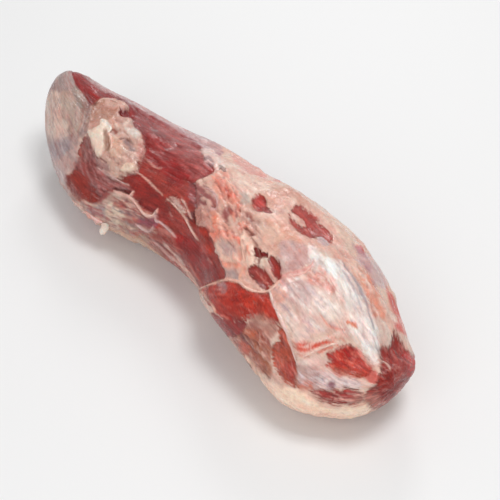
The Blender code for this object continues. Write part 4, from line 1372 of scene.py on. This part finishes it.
def tissue_edge_group():
    """Mask of the covering tissue: its signed coverage, made ragged and then sharp. Step is a painted shade
    that darkens bare lean just inside the covering's edge.
    """
    inputs = (("Cover", "Float"), ("Place", "Vector"), ("Grain", "Vector"), ("Raggedness", "Float"),
              ("Softness", "Float"))
    outputs = (("Mask", "Float"), ("Step", "Float"))
    tree, given, result = start_group("tissue edge", inputs, outputs)
    coarse = along_grain(tree, given, 0.38, EDGE_SIZE, 4.0, 0.7, 0.4)
    ragged = times(tree, calculate(tree, "SUBTRACT", coarse, 0.5), given["Raggedness"])
    moved = calculate(tree, "ADD", given["Cover"], ragged)
    low = times(tree, given["Softness"], -1.0)
    tree.links.new(map_value(tree, moved, low, given["Softness"]), result["Mask"])
    # Painted shade: near the covering's edge, bare lean drops to between 0.72 and 1 of its colour, as if in
    # the covering's shadow
    depth = map_value(tree, noise(tree, given["Place"], EDGE_SHADE_SIZE), 0.40, 0.60, 0.72, 1.0)
    tree.links.new(map_value(tree, moved, -0.75, -0.05, 1.0, depth), result["Step"])
    return tree


def muscle_grain_group():
    """Bare muscle: fibres that run along the grain, darker gaps between them and pale flecks."""
    inputs = (("Colour", "Color"), ("Grain", "Vector"), ("Marbling", "Float"))
    tree, given, result = start_group("muscle grain", inputs, (("Colour", "Color"), ("Height", "Float")))
    fibres = along_grain(tree, given, 0.10, FIBRE_SIZE, 3.0, 0.6, 0.2)
    bundles = along_grain(tree, given, 0.20, BUNDLE_SIZE, 2.0, 0.5, 0.4)
    clouds = along_grain(tree, given, 0.45, CLOUD_SIZE, 3.0, 0.6, 0.3)
    shade = calculate(tree, "ADD", map_value(tree, fibres, 0.32, 0.70, 0.86, 1.14),
                      map_value(tree, bundles, 0.3, 0.7, -0.10, 0.10))
    shade = times(tree, shade, map_value(tree, clouds, 0.35, 0.65, 0.82, 1.16))
    cross = noise(tree, stretch(tree, given["Grain"], (1.0, 0.22, 1.0), 0.5), CROSS_SIZE, 2.0, 0.6)
    shade = times(tree, shade, map_value(tree, cross, 0.3, 0.7, 0.91, 1.09))
    veil = along_grain(tree, given, 0.35, VEIL_SIZE, 3.0, 0.6, 0.6)
    veil_share = times(tree, map_value(tree, veil, 0.50, 0.72), VEIL_SHARE)
    veiled = blend_colours(tree, veil_share, toned(tree, given["Colour"], shade), solid(VEIL_PINK))
    flecks = along_grain(tree, given, 0.25, FLECK_SIZE, 4.0, 0.65, 0.8)
    fleck_share = times(tree, map_value(tree, flecks, 0.60, 0.74), given["Marbling"])
    coloured = blend_colours(tree, fleck_share, veiled, solid(FLECK_PINK))
    height = calculate(tree, "ADD", times(tree, fibres, 0.6), times(tree, bundles, 0.9))
    tree.links.new(coloured, result["Colour"])
    tree.links.new(height, result["Height"])
    return tree


def fat_group():
    """Fat and membrane: broad pink and cream mottling, fine grain, faint blood lines and fibres."""
    inputs = (("Colour", "Color"), ("Fatness", "Float"), ("Grain", "Vector"), ("Place", "Vector"))
    tree, given, result = start_group("fat and membrane", inputs, (("Colour", "Color"), ("Height", "Float")))
    broad = along_grain(tree, given, 0.55, BROAD_SIZE, 3.0, 0.55, 0.5)
    fine = noise(tree, given["Place"], FINE_SIZE, 2.0, 0.5, 0.4)
    threads = along_grain(tree, given, 0.16, THREAD_SIZE, 3.0, 0.6, 0.6)
    pinker = tinted(tree, given["Colour"], PINKER)
    paler = tinted(tree, given["Colour"], PALER)
    mottled = blend_colours(tree, map_value(tree, broad, 0.34, 0.62), pinker, paler)
    middle = calculate(tree, "SUBTRACT", noise(tree, given["Place"], VEIN_SIZE, 3.0, 0.55, 1.2), 0.5)
    vein_share = map_value(tree, calculate(tree, "ABSOLUTE", middle), 0.0, VEIN_WIDTH, VEIN_SHARE, 0.0)
    veined = blend_colours(tree, vein_share, mottled, solid(BLOOD))
    smooth_share = calculate(tree, "SUBTRACT", 1.0, given["Fatness"])
    fine_tone = map_value(tree, fine, 0.3, 0.7, 0.93, 1.05)
    thread_tone = times(tree, map_value(tree, threads, 0.3, 0.7, -0.12, 0.10),
                        calculate(tree, "ADD", smooth_share, 0.4))
    tone = times(tree, fine_tone, calculate(tree, "ADD", 1.0, thread_tone))
    lumps = times(tree, fine, calculate(tree, "ADD", given["Fatness"], 0.35))
    height = calculate(tree, "ADD", lumps, times(tree, threads, smooth_share))
    tree.links.new(toned(tree, veined, tone), result["Colour"])
    tree.links.new(height, result["Height"])
    return tree


def wet_film_group():
    """Wet film: roughness and coat that change in patches from damp to wet."""
    inputs = (("Place", "Vector"), ("Damp", "Float"), ("Wet", "Float"), ("Film", "Float"))
    tree, given, result = start_group("wet film", inputs, (("Roughness", "Float"), ("Coat", "Float")))
    patches = map_value(tree, noise(tree, given["Place"], FILM_SIZE, 3.0, 0.6), 0.40, 0.62)
    rough = put(tree, "ShaderNodeMix", {0: patches, 2: given["Damp"], 3: given["Wet"]}).outputs[0]
    speckle = map_value(tree, noise(tree, given["Place"], SPECKLE_SIZE, 2.0, 0.6), 0.3, 0.7, 0.85, 1.15)
    tree.links.new(times(tree, rough, speckle), result["Roughness"])
    tree.links.new(times(tree, map_value(tree, patches, 0.0, 1.0, 0.35, 1.0), given["Film"]), result["Coat"])
    return tree


def group_node(tree, name, make, values):
    """Place a shader group in a material, building it the first time."""
    group = bpy.data.node_groups.get(name) or make()
    return put(tree, "ShaderNodeGroup", values, node_tree=group).outputs


def wet_film(tree, place, roughness, film):
    """Roughness and coat of a wet film, from its roughness where damp and wet and its strength."""
    damp, wet = roughness
    values = {"Place": place, "Damp": damp, "Wet": wet, "Film": film}
    return group_node(tree, "wet film", wet_film_group, values)


def attribute(tree, name, output="Fac"):
    """Value of a named attribute of the mesh."""
    return put(tree, "ShaderNodeAttribute", attribute_name=name).outputs[output]


def start_material(name):
    """Material with its node tree, its shader and the object's own places for the patterns."""
    material = bpy.data.materials.new(name)
    material.use_nodes = True
    tree = material.node_tree
    place = put(tree, "ShaderNodeTexCoord").outputs["Object"]
    return material, tree, tree.nodes["Principled BSDF"], place


def finish_flesh(tree, shader, colour, height, film, distance):
    """Link the patterns and set the constant values of moist flesh and its wet coat."""
    bump = put(tree, "ShaderNodeBump", {"Height": height, "Strength": 1.0, "Distance": distance})
    links = (("Base Color", colour), ("Roughness", film["Roughness"]), ("Coat Weight", film["Coat"]),
             ("Normal", bump.outputs[0]))
    for name, value in links:
        tree.links.new(value, shader.inputs[name])
    for name, value in FLESH.items():
        shader.inputs[name].default_value = value


def meat_material(settings):
    """The muscle: painted lean under painted fat and membrane, with grain, mottling, wet film and a painted
    shade on the lean at the covering's edge.
    """
    material, tree, shader, place = start_material("raw_beef_surface")
    grain = put(tree, "ShaderNodeUVMap", uv_map="Grain").outputs[0]
    border = group_node(tree, "tissue edge", tissue_edge_group, {
        "Cover": attribute(tree, "cover"), "Place": place, "Grain": grain, "Raggedness": RAGGEDNESS,
        "Softness": attribute(tree, "blur"),
    })
    mask = border["Mask"]
    lean = group_node(tree, "muscle grain", muscle_grain_group, {
        "Colour": attribute(tree, "lean_colour", "Color"), "Grain": grain, "Marbling": settings.marbling,
    })
    fat = group_node(tree, "fat and membrane", fat_group, {
        "Colour": attribute(tree, "cover_colour", "Color"), "Fatness": attribute(tree, "fatness"),
        "Grain": grain, "Place": place,
    })
    # Bare lean takes the painted shade along the covering's edge
    colour = blend_colours(tree, mask, toned(tree, lean["Colour"], border["Step"]), fat["Colour"])
    height = put(tree, "ShaderNodeMix", {0: mask, 2: lean["Height"], 3: fat["Height"]}).outputs[0]
    height = calculate(tree, "ADD", height, times(tree, mask, COVER_STEP))
    film = wet_film(tree, place, MEAT_ROUGHNESS, settings.film)
    finish_flesh(tree, shader, colour, height, film, settings.grain_height)
    return material


def trim_material():
    """Loose fat and membrane: the painted colour with mottling, fine lumps and wet film."""
    material, tree, shader, place = start_material("fat_trim_surface")
    fat = group_node(tree, "fat and membrane", fat_group, {
        "Colour": attribute(tree, "cover_colour", "Color"), "Fatness": TRIM_FATNESS, "Grain": place,
        "Place": place,
    })
    film = wet_film(tree, place, TRIM_ROUGHNESS, TRIM_FILM)
    finish_flesh(tree, shader, fat["Colour"], fat["Height"], film, TRIM_GRAIN_HEIGHT)
    return material


def grid_faces(rows, columns):
    """Quads of a grid that closes on itself around, with the faces pointing out."""
    row, column = np.meshgrid(np.arange(rows - 1), np.arange(columns), indexing="ij")
    after = (column + 1) % columns
    low, high = row * columns, (row + 1) * columns
    return np.stack([low + column, low + after, high + after, high + column], -1).reshape(-1, 4)


def cap_faces(rows, columns, first, last):
    """Triangles that close both ends of a grid onto its two end points."""
    step = np.arange(columns)
    after = (step + 1) % columns
    far = (rows - 1) * columns
    start = np.stack([np.full(columns, first), after, step], -1)
    end = np.stack([np.full(columns, last), far + step, far + after], -1)
    return np.concatenate([start, end])


def add_piece(name, points, quads, triangles, material, attributes):
    """Mesh object with its attributes, riding on the body and standing for the solid."""
    mesh = bpy.data.meshes.new(name)
    mesh.from_pydata(points.tolist(), [], quads.tolist() + triangles.tolist())
    mesh.shade_smooth()
    for label, values in attributes.items():
        if values.ndim == 2:
            data = mesh.attributes.new(label, "FLOAT_COLOR", "POINT").data
            data.foreach_set("color", np.concatenate([values, np.ones((len(values), 1))], 1).ravel())
        else:
            mesh.attributes.new(label, "FLOAT", "POINT").data.foreach_set("value", values)
    mesh.materials.append(material)
    piece = bpy.data.objects.new(name, mesh)
    bpy.context.scene.collection.objects.link(piece)
    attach(piece, BODY)
    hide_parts(CAD_NODE)
    return piece


def corners(across, down):
    """Map places of the corners of every face, from their values across and down."""
    across = np.stack(np.broadcast_arrays(*across), -1)
    down = np.stack(np.broadcast_arrays(*down), -1)
    return np.stack(np.broadcast_arrays(across, down), -1).reshape(-1, 2)


def add_corner_map(mesh, name, across_rows, across_columns, ends):
    """UV map of a closed grid: one value for each row, one for each column and one past the last."""
    rows, columns = len(across_rows), len(across_columns) - 1
    row, column = np.meshgrid(np.arange(rows - 1), np.arange(columns), indexing="ij")
    low, high = across_rows[row], across_rows[row + 1]
    here, after = across_columns[column], across_columns[column + 1]
    quads = corners((low, low, high, high), (here, after, after, here))
    here, after = across_columns[:-1], across_columns[1:]
    middle = (here + after) / 2
    first, last = across_rows[0], across_rows[-1]
    start = corners((ends[0], first, first), (middle, after, here))
    end = corners((ends[1], last, last), (middle, here, after))
    layer = mesh.uv_layers.new(name=name)
    layer.uv.foreach_set("vector", np.concatenate([quads, start, end]).ravel())


def strip(path, normal, half_width, half_height, sides):
    """Profile carried along a path: an ellipse that stands across it, closed at both ends.

    Each point is the path's own plus the sideways direction times half the width times the
    cosine, and plus the normal times half the height times the sine.
    """
    forward = np.gradient(path, axis=0)
    forward /= np.linalg.norm(forward, axis=1, keepdims=True)
    aside = np.cross(normal, forward)
    aside /= np.linalg.norm(aside, axis=1, keepdims=True)
    turn = np.linspace(0, 2 * math.pi, sides, endpoint=False)
    across = (half_width[:, None] * np.cos(turn))[..., None] * aside[:, None]
    upward = (half_height[:, None] * np.sin(turn))[..., None] * normal[:, None]
    rings = path[:, None] + across + upward
    points = np.concatenate([rings.reshape(-1, 3), path[:1], path[-1:]])
    quads = grid_faces(len(path), sides)
    triangles = cap_faces(len(path), sides, len(points) - 2, len(points) - 1)
    return points, quads, triangles


def joined(parts):
    """Several closed shapes as one set of points and faces."""
    starts = np.cumsum([0] + [len(part[0]) for part in parts[:-1]])
    points = np.concatenate([part[0] for part in parts])
    quads = np.concatenate([part[1] + start for part, start in zip(parts, starts)])
    triangles = np.concatenate([part[2] + start for part, start in zip(parts, starts)])
    return points, quads, triangles


def hanging_tag(skin, width):
    """Scrap of fat that hangs outwards and down: a flat strip along the tag's line in the picture.

    Its depth grows with the drop, so that it hangs steeply from the point under its root.
    """
    line = rounded(TAG_LINE, closed=False, parts=6)
    root, _ = skin.at(line[:1])
    place, right, down, forward = camera_frame()
    size = (root - place) @ forward / (LENS / SENSOR * PICTURE)
    away = (line - line[0]) * size
    path = root + away[:, :1] * right + away[:, 1:] * (down + TAG_HANG * forward) + TAG_SUNK * forward
    share = np.linspace(0, 1, len(line))
    facing = np.tile(-forward, (len(line), 1))
    widths = np.array(TAG_WIDTHS)
    half_width = np.interp(share, *widths.T) * width / (2 * widths[:, 1].max())
    share_of_width, added = TAG_THICKNESS
    return strip(path, facing, half_width, share_of_width * half_width + added, TAG_SIDES)


def strand(skin, line, half_width, half_height, lift, number):
    """Raised strand of fat that lies on the surface: an ellipse along a line of the picture."""
    curve = rounded(line, closed=False, parts=6)
    path, normal = skin.at(curve, lift)
    smooth = np.array([0.25, 0.5, 0.25])
    for _ in range(STRAND_SMOOTHINGS):
        inner = sum(weight * path[i:len(path) - 2 + i] for i, weight in enumerate(smooth))
        path = np.concatenate([path[:1], inner, path[-1:]])
    share = np.linspace(0, 1, len(path))
    taper = tapered(share, *STRAND_TAPER)
    size, spread = STRAND_UNEVEN
    uneven = 1 + spread * layered_noise(path, size, SEEDS["strand width"] + number, layers=2)
    dip = layered_noise(path, STRAND_DIP_SIZE, SEEDS["strand dip"] + number, layers=2)
    sunk = np.minimum(STRAND_DIP * (dip - STRAND_DIP_MEAN), STRAND_DIP_TOP) * MM
    path = path + normal * sunk[:, None]
    return strip(path, normal, half_width * taper * uneven, half_height * taper, STRAND_SIDES)


SHARED = {}


def surface():
    """The muscle's surface, worked out once."""
    if "surface" not in SHARED:
        SHARED["surface"] = Surface()
    return SHARED["surface"]


def trim():
    """The material of loose fat and membrane, made once."""
    return bpy.data.materials.get("fat_trim_surface") or trim_material()


def with_end(values, end):
    """Array with the mean of its first and last rings added for the two end points."""
    first = values[:end].mean(axis=0, keepdims=True)
    last = values[-end:].mean(axis=0, keepdims=True)
    return np.concatenate([values, first, last])


class MuscleSettings(bpy.types.PropertyGroup):
    """Tones and finish of the muscle's surface."""

    lean_tone: bpy.props.FloatVectorProperty(
        name="Lean tone", description="Colour that multiplies the bare muscle", size=3, subtype="COLOR",
        default=(1.0, 0.93, 0.86), min=0, max=1)
    fat_tone: bpy.props.FloatVectorProperty(
        name="Fat tone", description="Colour that multiplies fat and membrane", size=3, subtype="COLOR",
        default=(1.0, 0.985, 0.965), min=0, max=1)
    marbling: bpy.props.FloatProperty(
        name="Marbling", description="Strength of the pale flecks in bare muscle", default=0.24, min=0, max=1)
    film: bpy.props.FloatProperty(
        name="Wet film", description="Strength of the wet coat over the tissue", default=0.30, min=0, max=1)
    grain_height: bpy.props.FloatProperty(
        name="Grain height", description="Height of the fine grain", default=0.0008, unit="LENGTH")


class TrimSettings(bpy.types.PropertyGroup):
    """Hanging scrap of fat and raised strands."""

    strand_width: bpy.props.FloatProperty(
        name="Strand width", description="Width of the widest raised strand",
        default=MM * WIDEST_STRAND, unit="LENGTH")
    tag_width: bpy.props.FloatProperty(
        name="Scrap width", description="Width of the hanging scrap at its widest",
        default=2 * MM * max(width for _, width in TAG_WIDTHS), unit="LENGTH")
    tag_colour: bpy.props.FloatVectorProperty(
        name="Scrap colour", description="Colour of the hanging scrap", size=3, subtype="COLOR",
        default=tuple(linear(TAG_CREAM)), min=0, max=1)


class StageSettings(bpy.types.PropertyGroup):
    """Floor and light."""

    floor_size: bpy.props.FloatProperty(
        name="Floor size", description="Side of the square floor", default=6.0, unit="LENGTH")
    floor_colour: bpy.props.FloatVectorProperty(
        name="Floor colour", description="Colour of the floor", size=3, subtype="COLOR",
        default=(0.86, 0.86, 0.86), min=0, max=1)
    key_power: bpy.props.FloatProperty(
        name="Key light", description="Power of the large soft light above", default=9.5, unit="POWER")
    back_power: bpy.props.FloatProperty(
        name="Back light", description="Power of the light behind, for the wet shine", default=3.6,
        unit="POWER")
    front_power: bpy.props.FloatProperty(
        name="Front light", description="Power of the soft light before the muscle", default=5.2,
        unit="POWER")
    fill: bpy.props.FloatProperty(
        name="Fill", description="Strength of the light from all around", default=0.46, min=0, max=3)


class BEEF_OT_muscle(bpy.types.Operator):
    """Build the surface of the muscle with its painted tissue"""

    bl_idname = "beef.muscle"
    bl_label = "Muscle"

    def execute(self, context):
        settings = context.scene.beef_muscle
        skin = surface()
        columns = len(skin.around)
        rows = len(skin.along)
        ends = body_point(np.array([0.0, LENGTH]), np.zeros(2)) + skin.shift
        points = np.concatenate([skin.points, ends])
        names = ("cover", "fatness", "blur", "cover_colour", "lean_colour")
        attributes = {name: with_end(getattr(skin.canvas, name), columns) for name in names}
        attributes["cover_colour"] *= np.array(settings.fat_tone)
        attributes["lean_colour"] *= np.array(settings.lean_tone)
        quads = grid_faces(rows, columns)
        triangles = cap_faces(rows, columns, len(skin.points), len(skin.points) + 1)
        material = meat_material(settings)
        piece = add_piece("eye_of_round_meat", points, quads, triangles, material, attributes)
        turned = np.append(skin.around, skin.around[0] + 2 * math.pi)
        add_corner_map(piece.data, "Grain", skin.along, turned * MEAN_RADIUS, (0.0, LENGTH))
        share_along = (np.arange(rows) + 1) / (rows + 1)
        share_around = (turned - turned[0]) / (2 * math.pi)
        add_corner_map(piece.data, "OFBake", share_along, share_around, (0.0, 1.0))
        return {"FINISHED"}


class BEEF_OT_hanging_fat(bpy.types.Operator):
    """Build the scrap of fat that hangs from the lower edge"""

    bl_idname = "beef.hanging_fat"
    bl_label = "Hanging fat"

    def execute(self, context):
        settings = context.scene.beef_trim
        points, quads, triangles = hanging_tag(surface(), settings.tag_width)
        mean, spread = TAG_PINK
        tone = ease(mean + spread * layered_noise(points, TAG_MOTTLE_SIZE, SEEDS["scrap"]))
        cream = np.array(settings.tag_colour)
        colour = cream + (linear(PINK_FAT) - cream) * tone[:, None]
        add_piece("hanging_fat_tag", points, quads, triangles, trim(), {"cover_colour": colour})
        return {"FINISHED"}


class BEEF_OT_strands(bpy.types.Operator):
    """Build the raised strands and torn edges of fat and membrane"""

    bl_idname = "beef.strands"
    bl_label = "Raised strands"

    def execute(self, context):
        skin = surface()
        size, spread = STRAND_SHADE
        scale = context.scene.beef_trim.strand_width / WIDEST_STRAND
        parts = []
        colours = []
        for number, (half_width, half_height, lift, colour, line) in enumerate(STRANDS.values()):
            part = strand(skin, line, half_width * scale, half_height * scale, lift * MM, number)
            shade = spread * layered_noise(part[0], size, SEEDS["strand shade"])
            parts.append(part)
            colours.append(linear(colour) * (1 + shade[:, None]))
        points, quads, triangles = joined(parts)
        colour = np.clip(np.concatenate(colours), 0, 1)
        add_piece("raised_fat_strands", points, quads, triangles, trim(), {"cover_colour": colour})
        return {"FINISHED"}


class BEEF_OT_stage(bpy.types.Operator):
    """Set the pale floor, the soft lights and the camera"""

    bl_idname = "beef.stage"
    bl_label = "Stage"

    def execute(self, context):
        settings = context.scene.beef_stage
        add_floor(settings)
        for name, place, size, power in LIGHTS:
            add_light(name, place, size, getattr(settings, power))
        add_world(settings.fill)
        add_camera()
        context.scene.view_settings.view_transform = "Standard"
        context.scene.view_settings.look = "None"
        return {"FINISHED"}


def add_floor(settings):
    """Large flat square just below the resting plane."""
    half = settings.floor_size / 2
    mesh = bpy.data.meshes.new("floor")
    square = [(-half, -half, 0), (half, -half, 0), (half, half, 0), (-half, half, 0)]
    mesh.from_pydata(square, [], [(0, 1, 2, 3)])
    material = bpy.data.materials.new("pale_floor")
    material.use_nodes = True
    shader = material.node_tree.nodes["Principled BSDF"]
    shader.inputs["Base Color"].default_value = (*settings.floor_colour, 1.0)
    shader.inputs["Roughness"].default_value = FLOOR_ROUGHNESS
    mesh.materials.append(material)
    floor = bpy.data.objects.new("floor", mesh)
    bpy.context.scene.collection.objects.link(floor)


def add_light(name, place, size, power):
    """Square soft light that faces the middle of the muscle."""
    data = bpy.data.lights.new(name, "AREA")
    data.shape = "SQUARE"
    data.size = size
    data.energy = power
    light = bpy.data.objects.new(name, data)
    bpy.context.scene.collection.objects.link(light)
    back = np.array(place) - np.array(LIGHT_AIM)
    back /= np.linalg.norm(back)
    right = np.cross([0.0, 0.0, 1.0], back)
    right /= np.linalg.norm(right)
    light.matrix_world = stand(right, np.cross(back, right), back, place)


def stand(right, up, back, place):
    """Matrix of an object that looks along -back."""
    rows = [[right[i], up[i], back[i], place[i]] for i in range(3)]
    return Matrix(rows + [[0, 0, 0, 1]])


def add_world(strength):
    """Even white light from all around."""
    world = bpy.data.worlds.new("studio")
    world.use_nodes = True
    background = world.node_tree.nodes["Background"]
    background.inputs["Color"].default_value = (1.0, 1.0, 1.0, 1.0)
    background.inputs["Strength"].default_value = strength
    bpy.context.scene.world = world


def add_camera():
    """Camera at the photograph's viewing angle."""
    data = bpy.data.cameras.new("camera")
    data.lens = LENS
    data.sensor_width = SENSOR
    data.clip_start = CLIP_START
    camera = bpy.data.objects.new("camera", data)
    bpy.context.scene.collection.objects.link(camera)
    place, right, down, forward = camera_frame()
    camera.matrix_world = stand(right, -down, -forward, place)
    bpy.context.scene.camera = camera


class BEEF_PT_panel(bpy.types.Panel):
    """Lists the pieces of the beef eye of round"""

    bl_idname = "BEEF_PT_panel"
    bl_label = "Beef eye of round"
    bl_space_type = "VIEW_3D"
    bl_region_type = "UI"
    bl_category = "Beef"

    def draw(self, context):
        for operator in OPERATORS:
            self.layout.operator(operator.bl_idname)
        scene = context.scene
        for settings in (scene.beef_muscle, scene.beef_trim, scene.beef_stage):
            box = self.layout.box()
            box.label(text=type(settings).__name__.replace("Settings", ""))
            for name in settings.__annotations__:
                box.prop(settings, name)


OPERATORS = (BEEF_OT_muscle, BEEF_OT_hanging_fat, BEEF_OT_strands, BEEF_OT_stage)
CLASSES = (MuscleSettings, TrimSettings, StageSettings) + OPERATORS + (BEEF_PT_panel,)


def register():
    """Make the classes and their settings known."""
    for each in CLASSES:
        bpy.utils.register_class(each)
    bpy.types.Scene.beef_muscle = bpy.props.PointerProperty(type=MuscleSettings)
    bpy.types.Scene.beef_trim = bpy.props.PointerProperty(type=TrimSettings)
    bpy.types.Scene.beef_stage = bpy.props.PointerProperty(type=StageSettings)


def unregister():
    """Take the settings and the classes away again."""
    del bpy.types.Scene.beef_stage
    del bpy.types.Scene.beef_trim
    del bpy.types.Scene.beef_muscle
    for each in reversed(CLASSES):
        bpy.utils.unregister_class(each)


def main():
    """Build every piece in order."""
    register()
    bpy.ops.beef.muscle()
    bpy.ops.beef.hanging_fat()
    bpy.ops.beef.strands()
    bpy.ops.beef.stage()


if __name__ == "__main__":
    main()
